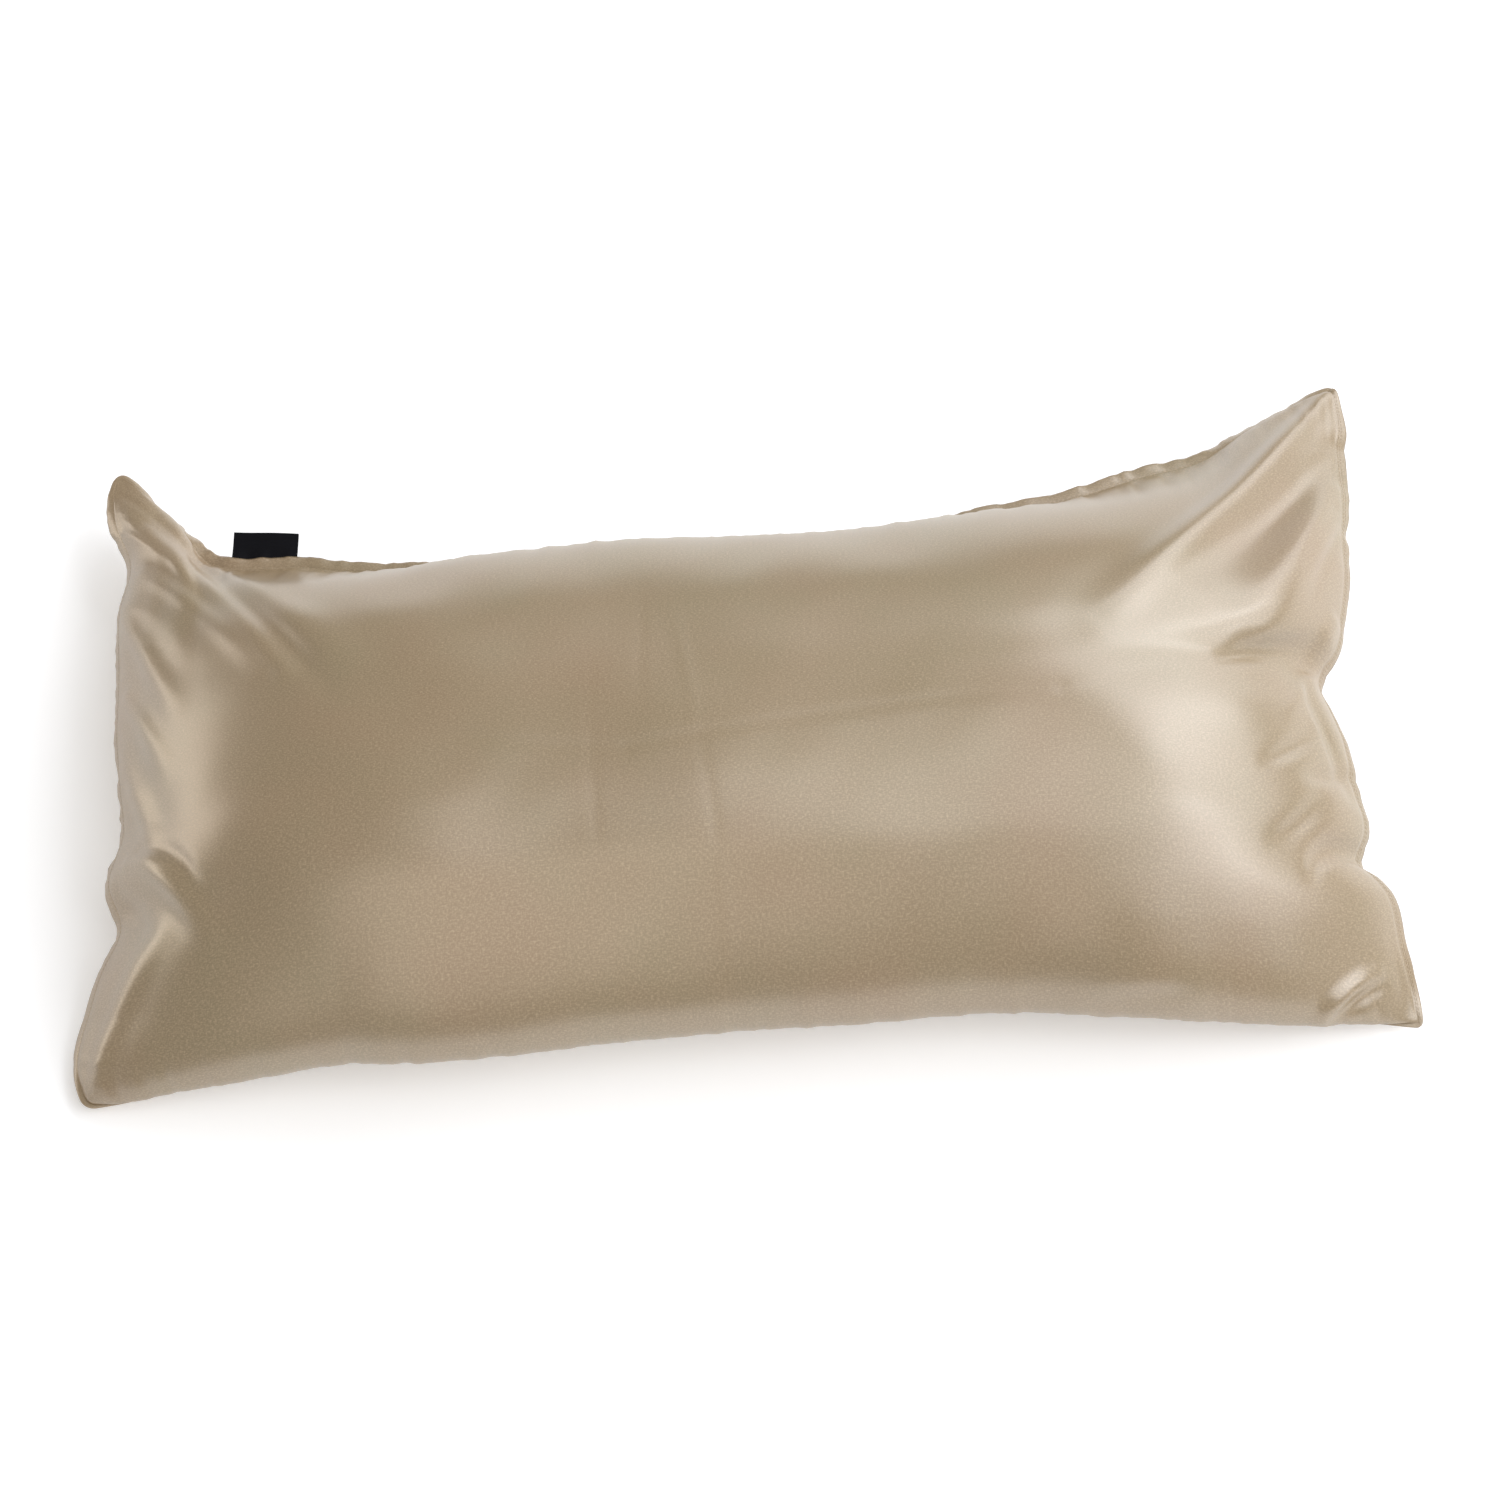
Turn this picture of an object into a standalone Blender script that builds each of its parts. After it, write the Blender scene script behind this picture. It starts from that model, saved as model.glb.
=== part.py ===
"""A filled satin pillowcase lying on its back, with a blank woven tab in its far seam.

World metres, +Z up. X runs along the case, and its open hemmed end is at +X. Y runs across it, and
the far seam, which carries the tab, is at +Y. The foot of the back panel is flat at z = 0.
Tables and named sizes below are in millimetres.
"""
import math
from collections import namedtuple

import bmesh
import bpy
import numpy as np

MM = 0.001

# Corner tips of the filled case: place in plan, and height of the sewn edge above the surface
Corner = namedtuple("Corner", "x y height")
NEAR_LEFT = Corner(-437, -240, 10)
NEAR_RIGHT = Corner(437, -240, 10)
FAR_RIGHT = Corner(433, 229, 50)
FAR_LEFT = Corner(-430, 231, 45)

# One row per bend of an edge, from its first corner to its last. along: share of the straight
# line between the corners. inset: draw-in from that line. height: edge above the surface.
# droop: slope of the sewn rim below level, in degrees. lip: depth of the parting in its outer edge,
# between the two hems at the open end and round the tab. bulge: the filling past the sewn line.
Bend = namedtuple("Bend", "along inset height droop lip bulge")
NEAR_EDGE = (
    Bend(0.00, 0, 10, 5, 0, 0),
    Bend(0.03, 3, 10, 15, 0, 18),
    Bend(0.08, 12, 9, 40, 0, 46),
    Bend(0.16, 24, 8, 55, 0, 70),
    Bend(0.21, 30, 8, 60, 0, 77),
    Bend(0.25, 33, 8, 60, 0, 84),
    Bend(0.32, 35, 8, 60, 0, 88),
    Bend(0.40, 37, 8, 60, 0, 82),
    Bend(0.50, 38, 8, 60, 0, 81),
    Bend(0.60, 37, 8, 60, 0, 78),
    Bend(0.68, 36, 8, 60, 0, 73),
    Bend(0.72, 34, 8, 60, 0, 72),
    Bend(0.78, 29, 8, 60, 0, 75),
    Bend(0.84, 24, 8, 55, 0, 71),
    Bend(0.93, 11, 9, 40, 0, 54),
    Bend(0.98, 2, 10, 15, 0, 20),
    Bend(1.00, 0, 10, 5, 0, 0),
)
RIGHT_EDGE = (
    Bend(0.00, 0, 10, 10, 1.0, 0),
    Bend(0.03, 1, 15, 20, 1.5, 0),
    Bend(0.10, 8, 30, 30, 1.5, 0),
    Bend(0.175, 14, 44, 35, 1.5, 0),
    Bend(0.225, 29, 52, 35, 1.5, 0),
    Bend(0.25, 26, 54, 35, 1.5, 0),
    Bend(0.32, 28, 58, 35, 2.0, 0),
    Bend(0.40, 32, 61, 35, 3.0, 0),
    Bend(0.455, 39, 62, 30, 5.0, 0),
    Bend(0.485, 45, 62, 30, 6.0, 0),
    Bend(0.525, 32, 62, 35, 4.0, 0),
    Bend(0.58, 23, 63, 35, 2.0, 0),
    Bend(0.65, 17, 62, 35, 1.5, 0),
    Bend(0.80, 4, 58, 25, 1.5, 0),
    Bend(0.94, -2, 53, 10, 1.5, 0),
    Bend(1.00, 0, 50, 5, 1.0, 0),
)
FAR_EDGE = (
    Bend(0.00, 0, 50, 5, 0, 0),
    Bend(0.04, 14, 51, 5, 0, -3),
    Bend(0.08, 32, 52, 5, 0, -6),
    Bend(0.115, 49, 53, 5, 0, -8),
    Bend(0.165, 59, 54, 5, 0, -8),
    Bend(0.23, 76, 56, 8, 0, -4),
    Bend(0.30, 86, 58, 10, 0, 4),
    Bend(0.36, 99, 60, 15, 0, 15),
    Bend(0.45, 104, 60, 25, 0, 20),
    Bend(0.52, 105, 60, 25, 0, 22),
    Bend(0.60, 104, 60, 25, 0, 18),
    Bend(0.70, 101, 60, 20, 0, 14),
    Bend(0.78, 99, 58, 10, 0, 0),
    Bend(0.82, 93, 57, 5, 0, -8),
    Bend(0.838, 90, 56, 2, 7, -10),
    Bend(0.872, 88, 55, 2, 7, -12),
    Bend(0.902, 85, 54, 2, 7, -12),
    Bend(0.914, 79, 52, 2, 0, -8),
    Bend(0.93, 61, 50, 5, 0, 0),
    Bend(0.96, 34, 48, 5, 0, 3),
    Bend(0.985, 8, 46, 5, 0, 3),
    Bend(1.00, 0, 45, 5, 0, 0),
)
LEFT_EDGE = (
    Bend(0.00, 0, 45, 10, 0, 0),
    Bend(0.05, -4, 45, 20, 0, 0),
    Bend(0.105, 1, 46, 30, 0, 0),
    Bend(0.18, 14, 48, 40, 0, 0),
    Bend(0.265, 10, 50, 45, 0, 0),
    Bend(0.37, 13, 50, 45, 0, 0),
    Bend(0.48, 12, 50, 45, 0, 0),
    Bend(0.55, 17, 50, 45, 0, 0),
    Bend(0.625, 22, 48, 50, 0, 0),
    Bend(0.70, 15, 46, 50, 0, 0),
    Bend(0.765, 23, 40, 50, 0, 0),
    Bend(0.81, 11, 30, 35, 0, 0),
    Bend(0.86, 2, 20, 30, 0, 0),
    Bend(0.95, -6, 12, 20, 0, 0),
    Bend(1.00, 0, 10, 5, 0, 0),
)

# Blank tab in the far seam: a strip folded over, as wide as TAB_WIDTH and standing out by TAB_DEPTH
TAB_X = -320.0
TAB_WIDTH = 45.0
TAB_DEPTH = 17.5
TAB_ROOT = 2.2
TAB_THICKNESS = 0.8
TAB_SWELL = 0.5
TAB_LIFT = 2.5
TAB_STEPS = 3

RIM_WIDTH = 10.0
RIM_THICKNESS = 2.4
# Reach over which the rim turns at a corner, and over which the corner's tip is rounded in steps
CORNER_REACH = 26.0
CORNER_ROUND = 11.0
ROUND_STEPS = 13
# Power by which the bends of the two short edges fade out towards the middle of the case
END_FADE = 5

# Crown of the filling: rise above the sewn loop, and how square each way's profile is
CROWN_RISE = 108.0
CROWN_SQUARE_X = 5.0
CROWN_SQUARE_Y = 2.4
CROWN_POWER_NEAR = 0.50
CROWN_POWER_FAR = 0.80
CROWN_LEAN = 0.12
CORNER_THINNING = 0.55
CORNER_SPREAD_X = 8.0
CORNER_SPREAD_Y = 5.0

# Main folds of the front panel. A fold runs in plan from (x0, y0) to (x1, y1), and its half width
# goes from width0 to width1. rise: ridge above the panel, or trough below it if negative.
# bow: sideways bend at the middle, to the left of its direction. first, last: share of the rise
# that is left at each end.
Fold = namedtuple("Fold", "x0 y0 x1 y1 bow width0 width1 rise first last")
FOLDS = (
    # far left ear: three ridges run in from the tip, with a trough between two of them
    Fold(-410, 209, -246, -4, -6, 7, 15, 5.0, 0.5, 0.25),
    Fold(-414, 199, -262, -20, 4, 4, 8, -3.2, 0.5, 0.2),
    Fold(-405, 172, -292, 2, 4, 5, 8, 3.8, 0.5, 0.5),
    Fold(-400, 128, -300, 7, 3, 6, 9, 3.0, 0.4, 0.3),
    # left end: creases from the pinches of the seam
    Fold(-416, 100, -364, -2, 0, 5, 10, 2.2, 0.4, 0.2),
    Fold(-404, 17, -368, -44, 0, 6, 8, 2.0, 0.6, 0.2),
    Fold(-402, -14, -368, -98, 0, 7, 9, 2.5, 0.5, 0.3),
    Fold(-391, -101, -337, -163, 3, 6, 10, 3.2, 0.4, 0.3),
    # near left corner
    Fold(-375, -160, -426, -222, -4, 10, 9, 2.5, 0.3, 0.5),
    # far right ear: two ridges run in from its tip and its edge, with a hollow between them
    Fold(418, 175, 300, 30, 6, 12, 22, -5.0, 0.2, 0.1),
    Fold(428, 224, 241, -10, 8, 7, 15, 6.0, 0.6, 0.15),
    Fold(401, 141, 316, -11, 8, 14, 10, 7.0, 0.5, 0.3),
    # the ear's near side drops steeply towards the deepest pinch
    Fold(418, 66, 340, -8, 5, 11, 8, 6.0, 0.6, 0.15),
    # right end: hollows beside the pinches of the hem
    Fold(379, -32, 402, -101, 2, 7, 8, -3.5, 0.8, 0.3),
    Fold(364, -166, 409, -140, 9, 8, 8, -4.0, 0.2, 0.7),
    # near right corner: a ridge runs in from the tip
    Fold(365, -246, 408, -212, 2, 8, 7, 4.0, 0.5, 0.4),
)
FOLD_FADE = 7.0

# Grid of the front panel, and rings from the sewn loop down to the flat foot
CELLS_X = 84
CELLS_Y = 38
EVEN_SHARE = 0.5
BACK_RINGS = 4
FOOT_REACH_X = 0.74
FOOT_REACH_Y = 0.62
FOOT_SQUARE = 3.0


def smooth_column(rows, key, column, at):
    """Read one column of a table along a smooth curve through its rows."""
    keys = np.array([getattr(row, key) for row in rows], float)
    values = np.array([getattr(row, column) for row in rows], float)
    slopes = np.gradient(values, keys)
    i = np.clip(np.searchsorted(keys, at, side="right") - 1, 0, len(keys) - 2)
    span = keys[i + 1] - keys[i]
    k = (at - keys[i]) / span
    return (
        values[i] * (1 + 2 * k) * (1 - k) ** 2
        + slopes[i] * span * k * (1 - k) ** 2
        + values[i + 1] * k * k * (3 - 2 * k)
        - slopes[i + 1] * span * k * k * (1 - k)
    )


def spaced_shares(count):
    """Shares from 0 to 1, closer together towards both ends."""
    even = np.linspace(0, 1, count + 1)
    rounded = (1 - np.cos(math.pi * even)) / 2
    return EVEN_SHARE * even + (1 - EVEN_SHARE) * rounded


def edge_points(first, last, rows, shares):
    """Outer edge of the rim between two corners, with its droop and lip columns."""
    chord = np.array([last.x - first.x, last.y - first.y], float)
    inward = np.array([-chord[1], chord[0]]) / np.hypot(*chord)
    inset = smooth_column(rows, "along", "inset", shares)
    plan = np.array([first.x, first.y]) + shares[:, None] * chord + inset[:, None] * inward
    height = smooth_column(rows, "along", "height", shares)
    droop = np.radians(smooth_column(rows, "along", "droop", shares))
    lip = np.maximum(smooth_column(rows, "along", "lip", shares), 0)
    return np.column_stack([plan, height, droop, lip])


def loop_places(loop):
    """Distance along a closed loop of points, and its total length."""
    steps = np.hypot(*(np.roll(loop[:, :2], -1, axis=0) - loop[:, :2]).T)
    place = np.concatenate([[0], np.cumsum(steps)])
    return place[:-1], place[-1]


def round_corners(loop):
    """Turn the pointed corners of a closed loop into arcs, by averaging it over a short reach."""
    place, total = loop_places(loop)
    ends = np.append(place, total)
    closed = np.vstack([loop, loop[:1]])
    corners = place[np.cumsum([0, CELLS_X, CELLS_Y, CELLS_X])]
    away = np.abs(place[:, None] - corners)
    away = np.minimum(away, total - away).min(axis=1)
    reach = CORNER_ROUND * np.clip(2 - away / CORNER_ROUND, 0, 1)
    rounded = np.zeros_like(loop)
    steps = np.linspace(-1, 1, ROUND_STEPS)
    for step in steps:
        where = np.mod(place + step * reach, total)
        rounded += np.column_stack([np.interp(where, ends, column) for column in closed.T])
    return rounded / ROUND_STEPS


def rim_loop():
    """The closed outer edge of the rim, anticlockwise from the near left corner."""
    along_x = spaced_shares(CELLS_X)[:-1]
    along_y = spaced_shares(CELLS_Y)[:-1]
    loop = np.vstack([
        edge_points(NEAR_LEFT, NEAR_RIGHT, NEAR_EDGE, along_x),
        edge_points(NEAR_RIGHT, FAR_RIGHT, RIGHT_EDGE, along_y),
        edge_points(FAR_RIGHT, FAR_LEFT, FAR_EDGE, along_x),
        edge_points(FAR_LEFT, NEAR_LEFT, LEFT_EDGE, along_y),
    ])
    return round_corners(loop)


def outward_normals(loop):
    """Level unit vectors out of a closed loop, taken over a reach that rounds the corners."""
    place, total = loop_places(loop)
    ends = np.append(place, total)
    closed = np.vstack([loop[:, :2], loop[:1, :2]])

    def plan_at(where):
        where = np.mod(where, total)
        return np.column_stack([np.interp(where, ends, closed[:, i]) for i in (0, 1)])

    tangent = plan_at(place + CORNER_REACH) - plan_at(place - CORNER_REACH)
    tangent /= np.hypot(*tangent.T)[:, None]
    return np.column_stack([tangent[:, 1], -tangent[:, 0]])


def rim_sections(loop):
    """Sewn line and outer edge of the rim as top, parting and underside rows of points."""
    outward = outward_normals(loop)
    droop = loop[:, 3:4]
    lip = loop[:, 4:5]
    out = np.hstack([outward * np.cos(droop), -np.sin(droop)])
    up = np.hstack([outward * np.sin(droop), np.cos(droop)])
    outer = loop[:, :3]
    sewn = outer - out * RIM_WIDTH
    half = up * RIM_THICKNESS / 2
    return {
        "sewn_top": sewn + half,
        "outer_top": outer + half,
        "parting": outer - out * lip,
        "outer_under": outer - half,
        "sewn_under": sewn - half,
    }


def split_loop(loop):
    """The four sides of a loop, each from low share to high share, with both corners."""
    closed = np.vstack([loop, loop[:1]])
    ends = np.cumsum([0, CELLS_X, CELLS_Y, CELLS_X, CELLS_Y])
    near, right, far, left = (closed[a:b + 1] for a, b in zip(ends[:-1], ends[1:]))
    return near, right, far[::-1], left[::-1]


def side_at(side, shares, at):
    """Point of one side of a loop at any share of its length."""
    return np.column_stack([np.interp(at, shares, side[:, i]) for i in range(3)])


def coons(loop, u, v):
    """Surface stretched between the four sides of a loop, at shares u along X and v along Y."""
    near, right, far, left = split_loop(loop)
    shares_x = spaced_shares(CELLS_X)
    shares_y = spaced_shares(CELLS_Y)
    vv = v[:, None]
    across = side_at(near, shares_x, u) * (1 - vv) + side_at(far, shares_x, u) * vv
    left_bend = side_at(left, shares_y, v) - left[0] * (1 - vv) - left[-1] * vv
    right_bend = side_at(right, shares_y, v) - right[0] * (1 - vv) - right[-1] * vv
    left_fade = np.column_stack([(1 - u) ** END_FADE, (1 - u) ** END_FADE, 1 - u])
    right_fade = np.column_stack([u ** END_FADE, u ** END_FADE, u])
    return across + left_bend * left_fade + right_bend * right_fade


def crown_x(s):
    return 1 - np.abs(s) ** CROWN_SQUARE_X


def crown_y(t):
    leaning = np.clip(t + CROWN_LEAN * (1 - t * t), -1, 1)
    power = CROWN_POWER_NEAR + (CROWN_POWER_FAR - CROWN_POWER_NEAR) * (1 + t) / 2
    return (1 - np.abs(leaning) ** CROWN_SQUARE_Y) ** power


def overhang(v):
    """Share of the outward bulge past the sewn line, at share v of the way in from it."""
    angle = np.minimum(np.arccos(1 - 2 * np.clip(v, 0, 1)), math.pi / 2)
    return np.sin(2 * angle) * np.cos(angle) ** 2


def front_points(sewn, u, v):
    """Front panel: the sewn loop's surface, raised by the filling and bulging past its seams."""
    s = np.clip(2 * u - 1, -1, 1)
    t = np.clip(2 * v - 1, -1, 1)
    points = coons(sewn, u, v)
    corner = np.abs(s) ** CORNER_SPREAD_X * np.abs(t) ** CORNER_SPREAD_Y
    thin = 1 - CORNER_THINNING * corner
    points[:, 2] += CROWN_RISE * crown_x(s) * crown_y(t) * thin
    points[:, 1] -= smooth_column(NEAR_EDGE, "along", "bulge", u) * overhang(v)
    points[:, 1] += smooth_column(FAR_EDGE, "along", "bulge", 1 - u) * overhang(1 - v)
    return points


def fold_height(fold, plan):
    """Height of one fold at plan points: a rounded ridge or trough that tapers to its ends."""
    run = np.array([fold.x1 - fold.x0, fold.y1 - fold.y0], float)
    length = np.hypot(*run)
    from_start = plan - (fold.x0, fold.y0)
    along = from_start @ run / length
    at = np.clip(along / length, 0, 1)
    beyond = along - at * length
    aside = (from_start[:, 1] * run[0] - from_start[:, 0] * run[1]) / length
    aside -= 4 * at * (1 - at) * fold.bow
    width = fold.width0 + (fold.width1 - fold.width0) * at
    ends = fold.first + (fold.last - fold.first) * at
    taper = ends + (1 - ends) * np.sin(math.pi * at)
    return fold.rise * taper * np.exp(-(aside ** 2 + beyond ** 2) / width ** 2)


def grid_normals(grid):
    """Unit normals of a grid of points, pointing up and out."""
    along = np.gradient(grid, axis=1)
    across = np.gradient(grid, axis=0)
    normals = np.cross(along, across)
    return normals / np.linalg.norm(normals, axis=2)[:, :, None]


def front_grid(sewn):
    """Rows of front points with their folds, from the near seam to the far one."""
    grid_u, grid_v = np.meshgrid(spaced_shares(CELLS_X), spaced_shares(CELLS_Y))
    points = front_points(sewn, grid_u.ravel(), grid_v.ravel())
    height = sum(fold_height(fold, points[:, :2]) for fold in FOLDS)
    grid = points.reshape(CELLS_Y + 1, CELLS_X + 1, 3)
    length = FAR_RIGHT.x - FAR_LEFT.x
    width = FAR_LEFT.y - NEAR_LEFT.y
    from_seam = np.minimum(
        np.minimum(grid_u, 1 - grid_u) * length, np.minimum(grid_v, 1 - grid_v) * width
    )
    fade = 1 - np.exp(-from_seam / FOLD_FADE)
    return grid + grid_normals(grid) * (height.reshape(fade.shape) * fade)[:, :, None]


def loop_shares():
    """Shares u and v of every point of the loop, anticlockwise from the near left corner."""
    along_x = spaced_shares(CELLS_X)
    along_y = spaced_shares(CELLS_Y)
    u = np.concatenate([
        along_x[:-1], np.ones(CELLS_Y), along_x[::-1][:-1], np.zeros(CELLS_Y)
    ])
    v = np.concatenate([
        np.zeros(CELLS_X), along_y[:-1], np.ones(CELLS_X), along_y[::-1][:-1]
    ])
    return u, v


def back_rings(sewn):
    """Rings of the back panel, rounding down from the sewn loop to the flat foot."""
    u, v = loop_shares()
    s = 2 * u - 1
    t = 2 * v - 1
    size = (np.abs(s) ** FOOT_SQUARE + np.abs(t) ** FOOT_SQUARE) ** (1 / FOOT_SQUARE)
    foot_s = s / size * FOOT_REACH_X
    foot_t = t / size * FOOT_REACH_Y
    rings = []
    for k in range(1, BACK_RINGS + 1):
        share = 1 - math.cos(math.pi / 2 * k / BACK_RINGS)
        ring_s = s + (foot_s - s) * share
        ring_t = t + (foot_t - t) * share
        ring = coons(sewn, (ring_s + 1) / 2, (ring_t + 1) / 2)
        ring[:, 2] *= 1 - math.sin(math.pi / 2 * k / BACK_RINGS)
        rings.append(ring)
    return rings


def add_ring(mesh, points):
    return [mesh.verts.new(point * MM) for point in points]


def bridge(mesh, upper, lower):
    """Quads between two rings that run anticlockwise, the upper one further in or higher."""
    count = len(upper)
    for i in range(count):
        j = (i + 1) % count
        mesh.faces.new((upper[i], lower[i], lower[j], upper[j]))


def satin_material():
    material = bpy.data.materials.new("champagne_satin")
    material.use_nodes = True
    shader = material.node_tree.nodes["Principled BSDF"]
    shader.inputs["Base Color"].default_value = (0.47, 0.38, 0.27, 1)
    shader.inputs["Roughness"].default_value = 0.38
    shader.inputs["Metallic"].default_value = 0.0
    material.diffuse_color = (0.47, 0.38, 0.27, 1)
    return material


def tab_material():
    material = bpy.data.materials.new("black_woven")
    material.use_nodes = True
    shader = material.node_tree.nodes["Principled BSDF"]
    shader.inputs["Base Color"].default_value = (0.012, 0.012, 0.014, 1)
    shader.inputs["Roughness"].default_value = 0.7
    shader.inputs["Metallic"].default_value = 0.0
    material.diffuse_color = (0.012, 0.012, 0.014, 1)
    return material


def finish_object(mesh, name, material):
    """Turn a closed bmesh into a named object with its faces pointing out."""
    bmesh.ops.recalc_face_normals(mesh, faces=mesh.faces)
    data = bpy.data.meshes.new(name)
    mesh.to_mesh(data)
    mesh.free()
    data.materials.append(material)
    data.shade_smooth()
    thing = bpy.data.objects.new(name, data)
    bpy.context.scene.collection.objects.link(thing)
    return thing


def build_case(rim):
    grid = front_grid(rim["sewn_top"])
    mesh = bmesh.new()
    front = [add_ring(mesh, row) for row in grid]
    for j in range(CELLS_Y):
        for i in range(CELLS_X):
            mesh.faces.new((front[j][i], front[j][i + 1], front[j + 1][i + 1], front[j + 1][i]))
    border = (
        front[0][:-1]
        + [row[-1] for row in front[:-1]]
        + front[-1][::-1][:-1]
        + [row[0] for row in front[::-1][:-1]]
    )
    rings = [border]
    for key in ("outer_top", "parting", "outer_under", "sewn_under"):
        rings.append(add_ring(mesh, rim[key]))
    rings += [add_ring(mesh, ring) for ring in back_rings(rim["sewn_under"])]
    for upper, lower in zip(rings[:-1], rings[1:]):
        bridge(mesh, upper, lower)
    mesh.faces.new(rings[-1][::-1])
    return finish_object(mesh, "case", satin_material())


def far_edge_frame(rim, x):
    """Middle of the far rim's outer edge at a place along X, with its along, out and up ways."""
    first = CELLS_X + CELLS_Y
    far = slice(first, first + CELLS_X + 1)
    edge = (rim["outer_top"][far] + rim["outer_under"][far])[::-1] / 2

    def place(at):
        return np.array([np.interp(at, edge[:, 0], edge[:, i]) for i in range(3)])

    along = place(x + TAB_WIDTH / 2) - place(x - TAB_WIDTH / 2)
    along /= np.linalg.norm(along)
    out = np.cross((0, 0, 1), along)
    out /= np.linalg.norm(out)
    return place(x), along, out, np.cross(along, out)


def tab_outline():
    """The folded strip's section, from its root in the rim out to its fold and back."""
    half = TAB_THICKNESS / 2
    shares = [k / TAB_STEPS for k in range(TAB_STEPS + 1)]
    outline = [(-TAB_ROOT, -half), (-TAB_ROOT, half)]
    outline += [(k * TAB_DEPTH, half + TAB_LIFT * k ** 2 + TAB_SWELL * k) for k in shares]
    outline.append((TAB_DEPTH + TAB_SWELL + half, TAB_LIFT))
    outline += [(k * TAB_DEPTH, -half + TAB_LIFT * k ** 2 - TAB_SWELL * k) for k in shares[::-1]]
    return outline


def build_tab(rim):
    """A strip folded on itself, its raw ends held in the parting of the far rim."""
    middle, along, out, up = far_edge_frame(rim, TAB_X)
    mesh = bmesh.new()
    sections = []
    for side in (-1, 1):
        base = middle + along * side * TAB_WIDTH / 2
        sections.append(add_ring(mesh, [base + out * d + up * h for d, h in tab_outline()]))
    bridge(mesh, *sections)
    mesh.faces.new(sections[0])
    mesh.faces.new(sections[1][::-1])
    return finish_object(mesh, "label", tab_material())


def clear_scene():
    for thing in list(bpy.data.objects):
        bpy.data.objects.remove(thing)


clear_scene()
rim_rows = rim_sections(rim_loop())
build_case(rim_rows)
build_tab(rim_rows)
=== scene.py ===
"""Looks of a filled satin pillowcase: folded and gathered cloth, stitches, blank tab and light.

World metres, +Z up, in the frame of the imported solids. X runs along the case to its open hemmed
end, and Y across it to the seam with the tab. Tables and sizes of the cloth, stitches and tab are
in millimetres, and those of materials, camera, light and floor in metres. The cloth is one fine
closed mesh of front panel, sewn rim and back panel. Its edge tables lie within 8 mm of those of
the solids, and then it is folded, gathered and creased.
"""
import math
from collections import namedtuple

import bpy
import numpy as np
from mathutils import Matrix, Vector


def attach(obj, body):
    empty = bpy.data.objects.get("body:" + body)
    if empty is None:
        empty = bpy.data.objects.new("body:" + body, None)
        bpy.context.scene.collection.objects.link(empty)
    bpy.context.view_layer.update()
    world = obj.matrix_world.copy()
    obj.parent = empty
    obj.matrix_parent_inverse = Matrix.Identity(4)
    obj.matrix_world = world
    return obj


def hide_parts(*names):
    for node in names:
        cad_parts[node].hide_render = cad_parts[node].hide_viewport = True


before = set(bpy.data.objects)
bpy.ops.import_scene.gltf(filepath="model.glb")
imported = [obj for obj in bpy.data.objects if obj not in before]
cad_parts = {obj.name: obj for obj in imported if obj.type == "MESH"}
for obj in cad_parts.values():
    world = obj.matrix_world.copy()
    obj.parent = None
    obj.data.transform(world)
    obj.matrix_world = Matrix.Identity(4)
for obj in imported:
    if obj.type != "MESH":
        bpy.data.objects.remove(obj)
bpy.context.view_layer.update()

MM = 0.001

# -------------------- edges of the case
# Corner tips of the filled case: place in plan, and height of the sewn edge above the surface
Corner = namedtuple("Corner", "x y height")
NEAR_LEFT = Corner(-437, -240, 10)
NEAR_RIGHT = Corner(437, -240, 10)
FAR_RIGHT = Corner(433, 229, 50)
FAR_LEFT = Corner(-430, 231, 45)

# One row per bend of an edge, from its first corner to its last. along: share of the straight
# line between the corners. inset: draw-in from that line. height: edge above the surface.
# droop: slope of the sewn rim below level, in degrees. lip: depth of the parting in its outer edge,
# between the two hems at the open end and round the tab. bulge: the filling past the sewn line.
Bend = namedtuple("Bend", "along inset height droop lip bulge")
NEAR_EDGE = (
    Bend(0.00, 0, 10, 5, 0, 0),
    Bend(0.03, 3, 10, 15, 0, 18),
    Bend(0.08, 14, 9, 40, 0, 40),
    Bend(0.16, 24, 8, 55, 0, 62),
    Bend(0.21, 30, 8, 60, 0, 73),
    Bend(0.25, 33, 8, 60, 0, 84),
    Bend(0.32, 35, 8, 60, 0, 88),
    Bend(0.40, 37, 8, 60, 0, 82),
    Bend(0.50, 38, 8, 60, 0, 81),
    Bend(0.60, 37, 8, 60, 0, 78),
    Bend(0.68, 36, 8, 60, 0, 73),
    Bend(0.72, 34, 8, 60, 0, 72),
    Bend(0.78, 29, 8, 60, 0, 75),
    Bend(0.84, 24, 8, 55, 0, 69),
    Bend(0.93, 12, 9, 40, 0, 46),
    Bend(0.98, 3, 10, 15, 0, 16),
    Bend(1.00, 0, 10, 5, 0, 0),
)
RIGHT_EDGE = (
    Bend(0.00, 0, 10, 10, 1.0, 0),
    Bend(0.03, 1, 15, 20, 1.5, 0),
    Bend(0.10, 5, 30, 30, 1.5, 0),
    Bend(0.175, 10, 44, 35, 1.5, 0),
    Bend(0.225, 24, 52, 35, 1.5, 0),
    Bend(0.25, 19, 54, 35, 1.5, 0),
    Bend(0.32, 21, 58, 35, 2.0, 0),
    Bend(0.40, 26, 61, 35, 3.0, 0),
    Bend(0.455, 34, 62, 30, 5.0, 0),
    Bend(0.485, 39, 62, 30, 6.0, 0),
    Bend(0.525, 24, 62, 35, 4.0, 0),
    Bend(0.58, 17, 63, 35, 2.0, 0),
    Bend(0.65, 11, 62, 35, 1.5, 0),
    Bend(0.80, 2, 58, 25, 1.5, 0),
    Bend(0.94, -4, 53, 10, 1.5, 0),
    Bend(1.00, 0, 50, 5, 1.0, 0),
)
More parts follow.
